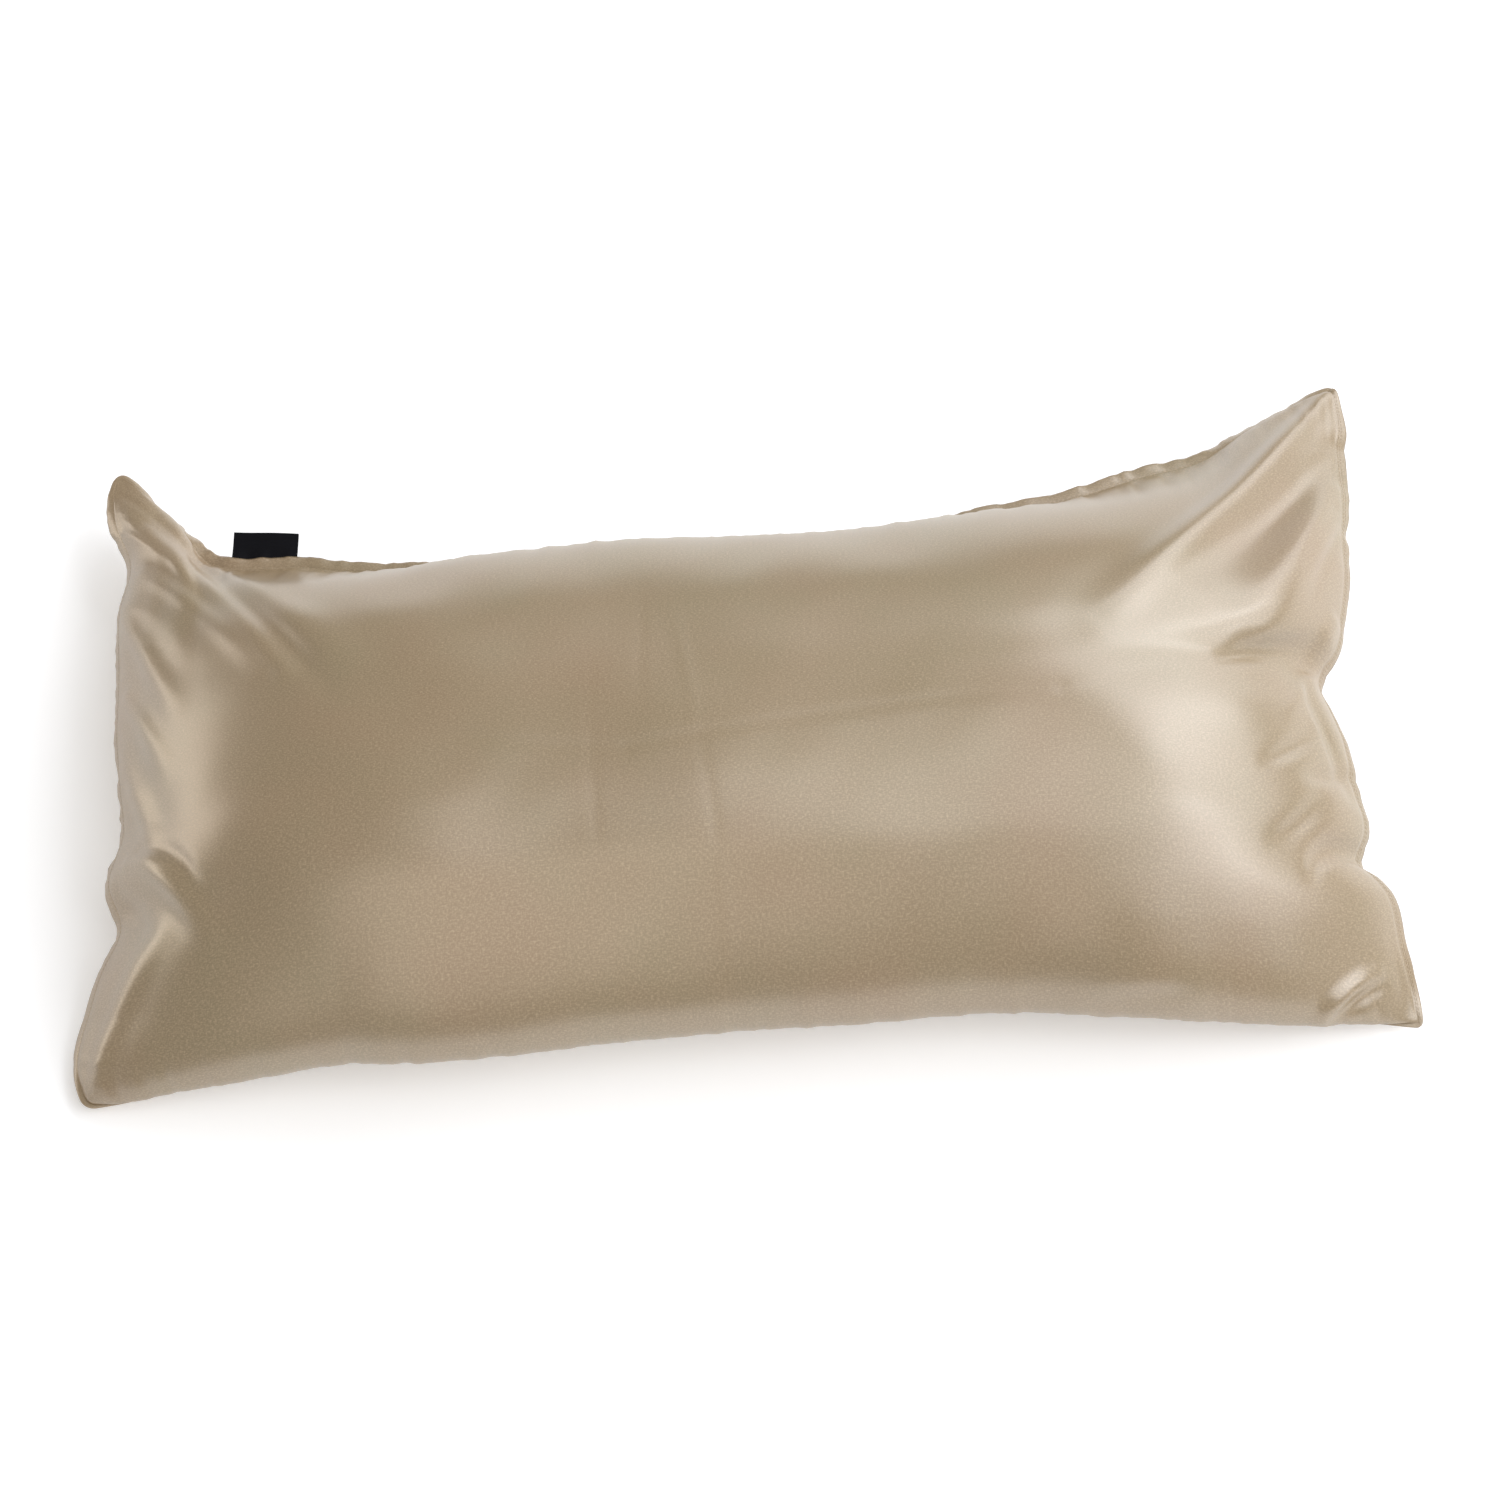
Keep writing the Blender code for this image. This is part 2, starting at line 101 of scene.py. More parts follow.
FAR_EDGE = (
    Bend(0.00, 0, 50, 5, 0, 0),
    Bend(0.02, 5, 48, 35, 0, 0),
    Bend(0.04, 14, 46, 55, 0, 0),
    Bend(0.08, 32, 47, 50, 0, -3),
    Bend(0.115, 49, 51, 20, 0, -7),
    Bend(0.165, 59, 54, 5, 0, -8),
    Bend(0.23, 76, 56, 8, 0, -4),
    Bend(0.30, 86, 58, 10, 0, 4),
    Bend(0.36, 99, 60, 15, 0, 15),
    Bend(0.45, 104, 60, 25, 0, 20),
    Bend(0.52, 105, 60, 25, 0, 22),
    Bend(0.60, 104, 60, 25, 0, 18),
    Bend(0.70, 101, 60, 20, 0, 14),
    Bend(0.78, 98, 58, 10, 0, 0),
    Bend(0.82, 92, 57, 5, 0, -8),
    Bend(0.838, 88, 56, 2, 7, -10),
    Bend(0.872, 86, 55, 2, 7, -12),
    Bend(0.902, 83, 54, 2, 7, -12),
    Bend(0.914, 78, 52, 2, 0, -8),
    Bend(0.93, 63, 46, 45, 0, 0),
    Bend(0.945, 50, 42, 75, 0, 3),
    Bend(0.965, 32, 43, 70, 0, 5),
    Bend(0.985, 10, 45, 35, 0, 4),
    Bend(1.00, 0, 45, 5, 0, 0),
)
LEFT_EDGE = (
    Bend(0.00, 0, 45, 10, 0, 0),
    Bend(0.05, -6, 45, 20, 0, 0),
    Bend(0.105, -4, 46, 30, 0, 0),
    Bend(0.18, 10, 48, 40, 0, 0),
    Bend(0.265, 6, 50, 45, 0, 0),
    Bend(0.37, 9, 50, 45, 0, 0),
    Bend(0.48, 11, 50, 45, 0, 0),
    Bend(0.55, 15, 50, 45, 0, 0),
    Bend(0.625, 20, 48, 50, 0, 0),
    Bend(0.70, 12, 46, 50, 0, 0),
    Bend(0.765, 20, 40, 45, 0, 0),
    Bend(0.81, 6, 30, 35, 0, 0),
    Bend(0.86, -4, 20, 30, 0, 0),
    Bend(0.95, -10, 12, 20, 0, 0),
    Bend(1.00, 0, 10, 5, 0, 0),
)
RIM_WIDTH = 10.0
# Reach along the edge, to either side, over which its outward way is taken
CORNER_REACH = 26.0
# Radius at which the loop is averaged into an arc at each corner, anticlockwise from the near left
CORNER_ROUNDS = (8.0, 5.0, 8.0, 11.0)
ROUND_STEPS = 13
# Power by which the bends of the two short edges fade out towards the middle of the case
END_FADE = 5
# Share of the near and far edge over which their short bends are averaged out away from them
EVEN_REACH = 0.09
# Length and width of the case between its corner tips
SPAN_X = FAR_RIGHT.x - FAR_LEFT.x
SPAN_Y = FAR_LEFT.y - NEAR_LEFT.y

# -------------------- crown of the filling
# Height of its top above the surface between the seams
CROWN_RISE = 108.0
# Powers that make its top flatter along X and along Y, the larger the flatter
CROWN_SQUARE_X = 5.0
CROWN_SQUARE_Y = 2.4
# Powers that round it down to the near and the far seam, the smaller the steeper
CROWN_POWER_NEAR = 0.50
CROWN_POWER_FAR = 0.80
# Shift of its top to the near side, as a share of half the width
CROWN_LEAN = 0.12
# Share of the crown that is missing in the corners, and powers that keep this close to them
CORNER_THINNING = 0.55
CORNER_SPREAD_X = 8.0
CORNER_SPREAD_Y = 5.0

# -------------------- folds of the front panel
# A fold runs in plan from (x0, y0) to (x1, y1), and its half width goes from width0 to width1.
# rise: ridge above the panel, or trough below it if negative. bow: sideways bend at the middle, to
# the left of its direction. first, last: share of the rise left at each end.
Fold = namedtuple("Fold", "x0 y0 x1 y1 bow width0 width1 rise first last")
FOLDS = (
    # far left ear: three ridges run in from the tip, with a narrow trough between two of them
    Fold(-400, 200, -236, -2, -8, 12, 15, 5.2, 0.2, 0.2),
    Fold(-400, 180, -252, -22, 2, 7, 8, -3.0, 0.2, 0.2),
    Fold(-400, 165, -282, -2, 3, 7, 8, 3.8, 0.25, 0.5),
    Fold(-400, 128, -300, 7, 3, 6, 9, 3.0, 0.4, 0.3),
    # left end: creases from the pinches of the seam
    Fold(-416, 100, -364, -2, 0, 5, 9, 3.6, 0.4, 0.2),
    Fold(-408, 30, -368, -44, 0, 5, 8, 3.2, 0.6, 0.2),
    Fold(-410, -14, -376, -98, 2, 6, 8, 4.0, 0.5, 0.3),
    Fold(-388, -90, -345, -128, 5, 4, 5, -2.4, 0.4, 0.3),
    Fold(-399, -94, -337, -163, 6, 6, 9, 4.8, 0.4, 0.3),
    Fold(-412, -110, -384, -148, 0, 6, 7, -3.6, 0.7, 0.3),
    # near left corner
    Fold(-374, -152, -428, -230, -5, 11, 9, 3.2, 0.3, 0.6),
    # far right ear: two ridges run in from its tip and its edge, with a hollow between them
    Fold(426, 172, 306, 18, 6, 12, 22, -7.5, 0.4, 0.1),
    Fold(428, 224, 241, -10, 8, 7, 15, 7.5, 0.7, 0.15),
    Fold(414, 132, 332, -14, 8, 11, 16, 7.2, 0.35, 0.1),
    Fold(391, 72, 324, -29, 3, 4, 6, -0.6, 0.4, 0.3),
    Fold(425, 111, 383, 28, 0, 3, 4, -1.4, 0.7, 0.2),
    Fold(417, 117, 381, 52, -1, 3, 4, -1.2, 0.6, 0.2),
    # its near side drops steeply to a crease that runs in from the deepest pinch
    Fold(418, 66, 340, -8, 5, 13, 14, 2.6, 0.6, 0.15),
    Fold(320, -30, 390, 2, 1, 4, 6, -4.0, 0.3, 0.8),
    # right end: the front hem parts from the back hem at the deepest pinch
    Fold(404, 24, 363, -59, 0, 5, 5, 3.0, 0.7, 0.2),
    Fold(379, -32, 402, -101, 2, 5, 6, -3.0, 0.8, 0.3),
    Fold(340, -100, 380, -68, -2, 4, 6, -3.4, 0.2, 0.5),
    Fold(370, -103, 404, -84, -2, 4, 5, -3.4, 0.2, 0.6),
    Fold(340, -150, 380, -115, -3, 5, 7, -2.8, 0.2, 0.4),
    Fold(364, -166, 409, -140, 9, 5, 6, -4.4, 0.2, 0.7),
    # near right corner
    Fold(365, -247, 408, -214, 2, 4, 5, 3.6, 0.5, 0.4),
    Fold(376, -244, 410, -219, 0, 4, 4, -3.0, 0.5, 0.3),
    Fold(225, -238, 282, -236, 0, 5, 5, -2.5, 0.7, 0.2),
)
# Faint marks of the flat packing, crossing near the middle of the case
CREASES = (
    Fold(-14, -78, -2, -230, 3, 3, 3, -0.34, 0.4, 0.5),
    Fold(-48, 40, -51, -60, 0, 2.5, 2.5, -0.28, 0.3, 0.3),
    Fold(-30, 20, -16, -72, 2, 2.5, 3, 0.3, 0.3, 0.3),
    Fold(-82, -20, -78, -190, -2, 3, 3, -0.2, 0.3, 0.3),
    Fold(-241, -45, -60, -84, -6, 4, 4, -0.32, 0.2, 0.8),
    Fold(-60, -84, 214, -61, 3, 4, 4, -0.36, 0.8, 0.8),
    Fold(214, -61, 300, -40, 0, 4, 4, -0.34, 0.8, 0.3),
)
# Distance from a seam over which folds and lumps fade out
FOLD_FADE = 7.0

# -------------------- small relief of the cloth
# Waves: each has a length, a height and a seed for its direction and phase
Wave = namedtuple("Wave", "length height seed")
LUMPS = (
    Wave(230, 1.7, 3),
    Wave(150, 1.3, 8),
    Wave(80, 0.5, 12),
    Wave(45, 0.14, 14),
)
PUCKERS = (
    Wave(31, 0.9, 21),
    Wave(19, 0.7, 22),
    Wave(12, 0.45, 23),
    Wave(8.3, 0.25, 24),
)
# Each broad wave runs in this many ways, which share its height
LUMP_WAYS = 3
# Distance in from a seam over which its gathers fade, their share on the rim, and how much
# stronger they are at the far seam
PUCKER_REACH = 17.0
RIM_RIPPLE = 0.55
FAR_PUCKERS = 1.8
# Gathers sway along the seam by this phase in radians, once in so many waves. Their height varies
# between the least share and full, also once in so many waves
SWAY = 0.6
SWAY_WAVES = 7
LEAST_STRENGTH = 0.3
STRENGTH_WAVES = 11
# Span in which a wave's phase is drawn
PHASE_SPAN = 6.3

# -------------------- mesh
# Cells of the front panel along X and Y, and the share of them that is evenly spaced
CELLS_X = 336
CELLS_Y = 148
EVEN_SHARE = 0.5
# Rings of the back panel, size of its flat foot as a share of the case, and how square the foot is
BACK_RINGS = 22
FOOT_REACH_X = 0.74
FOOT_REACH_Y = 0.62
FOOT_SQUARE = 3.0
# Half of the rim's section: distance out from the sewn line, and half thickness there
Station = namedtuple("Station", "out half")
RIM_SECTION = (
    Station(0.0, 0.8),
    Station(0.8, 0.55),
    Station(1.6, 0.7),
    Station(3.2, 0.9),
    Station(5.8, 0.95),
    Station(8.2, 0.85),
    Station(9.6, 0.6),
)
# Power by which the rim's ripple grows from its sewn line to its edge
LIFT_POWER = 1.5
# The plain hem at the open end: least half thickness, the distance along a long seam in which the
# seam turns into it, and the share of the gathers that it takes away
HEM_HALF = 0.95
HEM_BLEND = 30.0
HEM_CALM = 0.9
# The rim at the short ends follows the panel's slope, read over this many cells, by this share,
# which grows within a share of the end's width
HEM_LOOK = 5
HEM_FLUSH = 0.9
HEM_TURN = 0.06
# Share of the rim's full width at places along the near edge, where it rolls under the corners
ROLLED_RIM = (
    (0.0, 0.45), (0.03, 0.3), (0.1, 0.3), (0.22, 1.0),
    (0.78, 1.0), (0.9, 0.3), (0.97, 0.3), (1.0, 0.45),
)
LEAST_RIM = 0.3
# Share of a short edge within which the rim comes back to its full width from the near corner
ROLL_OUT = 0.14
# Share of the rim's width at the tips of both far ears, and distances from a corner within which
# the rim narrows and the ripples fade
EAR_RIM = 0.45
EAR_REACH = 60.0
CALM_REACH = 45.0
# The flat panel, the space between both panels on the map, and the length that is 1 on the map
FLAT_LENGTH = 910.0
FLAT_WIDTH = 510.0
MAP_SPACE = 5.0
MAP_SIZE = 1075.0


def unit(rows):
    return rows / np.linalg.norm(rows, axis=1)[:, None]


def read_rows(rows, places, at):
    """Rows of points read between their places along a line."""
    return np.column_stack([np.interp(at, places, column) for column in rows.T])


def ease(share):
    """A share from 0 to 1 that starts and ends softly."""
    return share * share * (3 - 2 * share)


def smooth_column(rows, key, column, at):
    """Read one column of a table along a smooth curve through its rows."""
    keys = np.array([getattr(row, key) for row in rows], float)
    values = np.array([getattr(row, column) for row in rows], float)
    slopes = np.gradient(values, keys)
    i = np.clip(np.searchsorted(keys, at, side="right") - 1, 0, len(keys) - 2)
    span = keys[i + 1] - keys[i]
    k = (at - keys[i]) / span
    return (
        values[i] * (1 + 2 * k) * (1 - k) ** 2
        + slopes[i] * span * k * (1 - k) ** 2
        + values[i + 1] * k * k * (3 - 2 * k)
        - slopes[i + 1] * span * k * k * (1 - k)
    )


def spaced_shares(count):
    """Shares from 0 to 1, closer together towards both ends."""
    even = np.linspace(0, 1, count + 1)
    rounded = (1 - np.cos(math.pi * even)) / 2
    return EVEN_SHARE * even + (1 - EVEN_SHARE) * rounded


def edge_points(first, last, rows, shares):
    """Outer edge of the rim between two corners, with its droop and lip columns."""
    chord = np.array([last.x - first.x, last.y - first.y], float)
    inward = np.array([-chord[1], chord[0]]) / np.hypot(*chord)
    inset = smooth_column(rows, "along", "inset", shares)
    plan = np.array([first.x, first.y]) + shares[:, None] * chord + inset[:, None] * inward
    height = smooth_column(rows, "along", "height", shares)
    droop = np.radians(smooth_column(rows, "along", "droop", shares))
    lip = np.maximum(smooth_column(rows, "along", "lip", shares), 0)
    return np.column_stack([plan, height, droop, lip])


def loop_places(loop):
    """Distance along a closed loop of points, and its total length."""
    steps = np.hypot(*(np.roll(loop[:, :2], -1, axis=0) - loop[:, :2]).T)
    place = np.concatenate([[0], np.cumsum(steps)])
    return place[:-1], place[-1]


def round_corners(loop):
    """Turn the pointed corners of a closed loop into arcs, by averaging it over a short reach."""
    place, total = loop_places(loop)
    ends = np.append(place, total)
    closed = np.vstack([loop, loop[:1]])
    corners = place[np.cumsum([0, CELLS_X, CELLS_Y, CELLS_X])]
    away = np.abs(place[:, None] - corners)
    away = np.minimum(away, total - away) / CORNER_ROUNDS
    reach = (CORNER_ROUNDS * np.clip(2 - away, 0, 1)).max(axis=1)
    rounded = np.zeros_like(loop)
    for step in np.linspace(-1, 1, ROUND_STEPS):
        rounded += read_rows(closed, ends, np.mod(place + step * reach, total))
    return rounded / ROUND_STEPS


def rim_loop():
    """The closed outer edge of the rim, anticlockwise from the near left corner."""
    along_x = spaced_shares(CELLS_X)[:-1]
    along_y = spaced_shares(CELLS_Y)[:-1]
    loop = np.vstack([
        edge_points(NEAR_LEFT, NEAR_RIGHT, NEAR_EDGE, along_x),
        edge_points(NEAR_RIGHT, FAR_RIGHT, RIGHT_EDGE, along_y),
        edge_points(FAR_RIGHT, FAR_LEFT, FAR_EDGE, along_x),
        edge_points(FAR_LEFT, NEAR_LEFT, LEFT_EDGE, along_y),
    ])
    return round_corners(loop)


def outward_normals(loop):
    """Level unit vectors out of a closed loop, taken over a reach that rounds the corners."""
    place, total = loop_places(loop)
    ends = np.append(place, total)
    closed = np.vstack([loop[:, :2], loop[:1, :2]])
    ahead = read_rows(closed, ends, np.mod(place + CORNER_REACH, total))
    tangent = ahead - read_rows(closed, ends, np.mod(place - CORNER_REACH, total))
    tangent /= np.hypot(*tangent.T)[:, None]
    return np.column_stack([tangent[:, 1], -tangent[:, 0]])


def ripple(at, total, waves):
    """Sum of seeded waves along a closed loop, each fitted to a whole number of turns."""
    height = np.zeros_like(at)
    for wave in waves:
        draw = np.random.default_rng(wave.seed)
        turns = round(total / wave.length)
        once = 2 * math.pi * at / total
        sway_phase, strength_phase, phase = draw.uniform(0, PHASE_SPAN, 3)
        sway = SWAY * np.sin(once * round(turns / SWAY_WAVES) + sway_phase)
        strength = np.sin(once * round(turns / STRENGTH_WAVES) + strength_phase)
        strength = (1 + LEAST_STRENGTH) / 2 + (1 - LEAST_STRENGTH) / 2 * strength
        phase = once * turns + phase
        height += wave.height * strength * np.sin(phase + sway)
    return height


# The rim at every point of the loop: its sewn line, ways out and up, ripple, share of plain hem,
# and share of its full width
Rim = namedtuple("Rim", "sewn out up wave hem width")


def near_corner(u, v, reach):
    """Share from 0 at a corner of the case to 1 at a distance from it, at shares u and v."""
    away = np.hypot(np.minimum(u, 1 - u) * SPAN_X, np.minimum(v, 1 - v) * SPAN_Y)
    return ease(np.clip(away / reach, 0, 1))


def rim_shares():
    """Share of the rim's full width at each point of the loop."""
    u, v = loop_shares()
    near = np.interp(u, *zip(*ROLLED_RIM))
    open_share = (near - LEAST_RIM) / (1 - LEAST_RIM)
    near = LEAST_RIM + (1 - LEAST_RIM) * ease(open_share)
    near += (1 - near) * np.clip(v / ROLL_OUT, 0, 1)
    ear = EAR_RIM + (1 - EAR_RIM) * near_corner(u, v, EAR_REACH)
    return np.where(v > 0.5, ear, near)[:, None]


def hem_shares():
    """Share of the open end's plain hem at each point of the loop, 0 along the sewn seams."""
    u, _ = loop_shares()
    return ease(np.clip(1 - (1 - u) * (NEAR_RIGHT.x - NEAR_LEFT.x) / HEM_BLEND, 0, 1))


def level_rim(loop):
    """The rim as its edge tables say, before it follows the panel."""
    place, total = loop_places(loop)
    hem = hem_shares()[:, None]
    outward = outward_normals(loop)
    droop = loop[:, 3:4]
    out = np.hstack([outward * np.cos(droop), -np.sin(droop)])
    up = np.hstack([outward * np.sin(droop), np.cos(droop)])
    u, v = loop_shares()
    strength = np.where(v >= 1, FAR_PUCKERS, 1) * near_corner(u, v, CALM_REACH)
    strength = (1 - HEM_CALM * hem) * strength[:, None]
    wave = ripple(place, total, PUCKERS)[:, None] * RIM_RIPPLE * strength
    width = rim_shares()
    return Rim(loop[:, :3] - out * RIM_WIDTH * width, out, up, wave, hem, width)


def rim_row(rim, station, side):
    """Points of the rim's top (side 1) or underside (side -1) at one station of its section."""
    half = station.half + (max(HEM_HALF, station.half) - station.half) * rim.hem
    lifted = rim.wave * (station.out / RIM_WIDTH) ** LIFT_POWER
    reach = station.out * rim.width
    return rim.sewn + rim.out * reach + rim.up * (side * half + lifted)


def follow_panel(rim, grid):
    """The rim with both short ends turned to carry on in the slope of the panel."""
    border = grid.reshape(-1, 3)[border_indices()]
    slope = rim.out.copy()
    right = slice(CELLS_X, CELLS_X + CELLS_Y + 1)
    slope[right] = unit(grid[:, -1] - grid[:, -1 - HEM_LOOK])
    slope[-CELLS_Y:] = unit(grid[:0:-1, 0] - grid[:0:-1, HEM_LOOK])
    _, v = loop_shares()
    share = np.clip(np.minimum(v, 1 - v) / HEM_TURN, 0, 1)[:, None] * HEM_FLUSH
    out = unit(rim.out * (1 - share) + slope * share)
    up = rim.up - out * np.sum(rim.up * out, axis=1)[:, None]
    return rim._replace(sewn=border - unit(up) * RIM_SECTION[0].half, out=out, up=unit(up))


def rim_rows(loop, rim):
    """Rows of points over the rim: sewn line, top, parting of the edge, and underside."""
    top = [rim_row(rim, station, 1) for station in RIM_SECTION]
    under = [rim_row(rim, station, -1) for station in reversed(RIM_SECTION)]
    reach = RIM_WIDTH - loop[:, 4:5]
    lifted = rim.wave * (reach / RIM_WIDTH) ** LIFT_POWER
    parting = rim.sewn + rim.out * reach * rim.width + rim.up * lifted
    return top, parting, under


def split_loop(loop):
    """The four sides of a loop, each from low share to high share, with both corners."""
    closed = np.vstack([loop, loop[:1]])
    ends = np.cumsum([0, CELLS_X, CELLS_Y, CELLS_X, CELLS_Y])
    near, right, far, left = (closed[a:b + 1] for a, b in zip(ends[:-1], ends[1:]))
    return near, right, far[::-1], left[::-1]


def even_side(side, shares, at):
    """A side of a loop with its short bends averaged out, except at its two ends."""
    near_end = np.clip(np.minimum(at, 1 - at) / (2 * EVEN_REACH), 0, 1)
    reach = EVEN_REACH * (1 - (1 - near_end) ** 2)
    steps = np.linspace(-1, 1, ROUND_STEPS)
    return sum(read_rows(side, shares, at + step * reach) for step in steps) / ROUND_STEPS


def coons(loop, u, v):
    """Surface stretched between the four sides of a loop, at shares u along X and v along Y."""
    near, right, far, left = split_loop(loop)
    shares_x = spaced_shares(CELLS_X)
    shares_y = spaced_shares(CELLS_Y)
    vv = v[:, None]
    across = 0
    for side, share in ((near, 1 - vv), (far, vv)):
        even = even_side(side, shares_x, u)
        across = across + even * share + (read_rows(side, shares_x, u) - even) * share ** END_FADE
    left_bend = read_rows(left, shares_y, v) - left[0] * (1 - vv) - left[-1] * vv
    right_bend = read_rows(right, shares_y, v) - right[0] * (1 - vv) - right[-1] * vv
    left_fade = np.column_stack([(1 - u) ** END_FADE, (1 - u) ** END_FADE, 1 - u])
    right_fade = np.column_stack([u ** END_FADE, u ** END_FADE, u])
    return across + left_bend * left_fade + right_bend * right_fade


def crown_x(s):
    return 1 - np.abs(s) ** CROWN_SQUARE_X


def crown_y(t):
    leaning = np.clip(t + CROWN_LEAN * (1 - t * t), -1, 1)
    power = CROWN_POWER_NEAR + (CROWN_POWER_FAR - CROWN_POWER_NEAR) * (1 + t) / 2
    return (1 - np.abs(leaning) ** CROWN_SQUARE_Y) ** power


def overhang(v):
    """Share of the outward bulge past the sewn line, at share v of the way in from it."""
    angle = np.minimum(np.arccos(1 - 2 * np.clip(v, 0, 1)), math.pi / 2)
    return np.sin(2 * angle) * np.cos(angle) ** 2


def front_points(sewn, u, v):
    """Front panel: the sewn loop's surface, raised by the filling and bulging past its seams."""
    s = np.clip(2 * u - 1, -1, 1)
    t = np.clip(2 * v - 1, -1, 1)
    points = coons(sewn, u, v)
    corner = np.abs(s) ** CORNER_SPREAD_X * np.abs(t) ** CORNER_SPREAD_Y
    thin = 1 - CORNER_THINNING * corner
    points[:, 2] += CROWN_RISE * crown_x(s) * crown_y(t) * thin
    points[:, 1] -= smooth_column(NEAR_EDGE, "along", "bulge", u) * overhang(v)
    points[:, 1] += smooth_column(FAR_EDGE, "along", "bulge", 1 - u) * overhang(1 - v)
    return points


def fold_height(fold, plan):
    """Height of one fold at plan points: a rounded ridge or trough that tapers to its ends."""
    run = np.array([fold.x1 - fold.x0, fold.y1 - fold.y0], float)
    length = np.hypot(*run)
    from_start = plan - (fold.x0, fold.y0)
    along = from_start @ run / length
    at = np.clip(along / length, 0, 1)
    beyond = along - at * length
    aside = (from_start[:, 1] * run[0] - from_start[:, 0] * run[1]) / length
    aside -= 4 * at * (1 - at) * fold.bow
    width = fold.width0 + (fold.width1 - fold.width0) * at
    ends = fold.first + (fold.last - fold.first) * at
    taper = ends + (1 - ends) * np.sin(math.pi * at)
    return fold.rise * taper * np.exp(-(aside ** 2 + beyond ** 2) / width ** 2)


def lump_height(plan):
    """Broad unevenness of the filling, from seeded crossing waves."""
    height = np.zeros(len(plan))
    for wave in LUMPS:
        draw = np.random.default_rng(wave.seed)
        for _ in range(LUMP_WAYS):
            angle = draw.uniform(0, math.pi)
            phase = draw.uniform(0, 2 * math.pi)
            way = np.array([math.cos(angle), math.sin(angle)])
            turns = 2 * math.pi * (plan @ way) / wave.length
            height += wave.height * np.sin(turns + phase) / LUMP_WAYS
    return height


def grid_normals(grid):
    """Unit normals of a grid of points, pointing up and out."""
    along = np.gradient(grid, axis=1)
    across = np.gradient(grid, axis=0)
    normals = np.cross(along, across)
    return normals / np.linalg.norm(normals, axis=2)[:, :, None]


def pucker_height(loop, u, v):
    """Small gathers that run in from the seams and fade, at shares u and v of the front panel."""
    place, total = loop_places(loop)
    sides = np.cumsum([0, CELLS_X, CELLS_Y, CELLS_X, CELLS_Y])
    ends = np.append(place, total)[sides]
    near, right, far, left = zip(ends[:-1], ends[1:])
    height = np.zeros_like(u)
    for (start, end), share, away, strength in (
        (near, u, v * SPAN_Y, 1), (right, v, (1 - u) * SPAN_X, 1 - HEM_CALM),
        (far, 1 - u, (1 - v) * SPAN_Y, FAR_PUCKERS), (left, 1 - v, u * SPAN_X, 1),
    ):
        at = start + share * (end - start)
        height += strength * ripple(at, total, PUCKERS) * np.exp(-away / PUCKER_REACH)
    return height * near_corner(u, v, CALM_REACH)


def front_grid(sewn, loop):
    """Rows of front points with their folds, from the near seam to the far one."""
    grid_u, grid_v = np.meshgrid(spaced_shares(CELLS_X), spaced_shares(CELLS_Y))
    u = grid_u.ravel()
    v = grid_v.ravel()
    points = front_points(sewn, u, v)
    plan = points[:, :2]
    height = sum(fold_height(fold, plan) for fold in FOLDS + CREASES)
    height += lump_height(plan)
    height += pucker_height(loop, u, v)
    grid = points.reshape(CELLS_Y + 1, CELLS_X + 1, 3)
    from_seam = np.minimum(grid_u * SPAN_X, np.minimum(grid_v, 1 - grid_v) * SPAN_Y)
    fade = 1 - np.exp(-from_seam / FOLD_FADE)
    shift = grid_normals(grid) * (height.reshape(fade.shape) * fade)[:, :, None]
    return grid + shift


def loop_shares():
    """Shares u and v of every point of the loop, anticlockwise from the near left corner."""
    along_x = spaced_shares(CELLS_X)
    along_y = spaced_shares(CELLS_Y)
    u = np.concatenate([along_x[:-1], np.ones(CELLS_Y), along_x[:0:-1], np.zeros(CELLS_Y)])
    v = np.concatenate([np.zeros(CELLS_X), along_y[:-1], np.ones(CELLS_X), along_y[:0:-1]])
    return u, v


def back_rings(sewn, loop):
    """Rings of the back panel, rounding down from the sewn loop to the flat foot."""
    place, total = loop_places(loop)
    wave = ripple(place, total, PUCKERS)
    u, v = loop_shares()
    s = 2 * u - 1
    t = 2 * v - 1
    size = (np.abs(s) ** FOOT_SQUARE + np.abs(t) ** FOOT_SQUARE) ** (1 / FOOT_SQUARE)
    foot_s = s / size * FOOT_REACH_X
    foot_t = t / size * FOOT_REACH_Y
    rings = []
    for k in range(1, BACK_RINGS + 1):
        turn = math.pi / 2 * k / BACK_RINGS
        share = 1 - math.cos(turn)
        ring_s = s + (foot_s - s) * share
        ring_t = t + (foot_t - t) * share
        ring = coons(sewn, (ring_s + 1) / 2, (ring_t + 1) / 2)
        ring[:, 2] *= 1 - math.sin(turn)
        ring[:, 2] += wave * math.sin(2 * turn) * math.cos(turn) ** 2
        rings.append((ring, (ring_s + 1) / 2, (ring_t + 1) / 2))
    return rings


def link_object(name, content):
    """An object with the given content, linked into the scene."""
    thing = bpy.data.objects.new(name, content)
    bpy.context.scene.collection.objects.link(thing)
    return thing


# -------------------- building the cloth
def border_indices():
    """Indices of the front grid's border points, anticlockwise from the near left corner."""
    row = CELLS_X + 1
    near = np.arange(CELLS_X)
    right = CELLS_X + row * np.arange(CELLS_Y)
    far = row * CELLS_Y + CELLS_X - np.arange(CELLS_X)
    left = row * (CELLS_Y - np.arange(CELLS_Y))
    return np.concatenate([near, right, far, left])


def grid_quads():
    """Quads of the front grid, facing up."""
    i, j = np.meshgrid(np.arange(CELLS_X), np.arange(CELLS_Y))
    low = (j * (CELLS_X + 1) + i).ravel()
    high = low + CELLS_X + 1
    return np.column_stack([low, low + 1, high + 1, high])


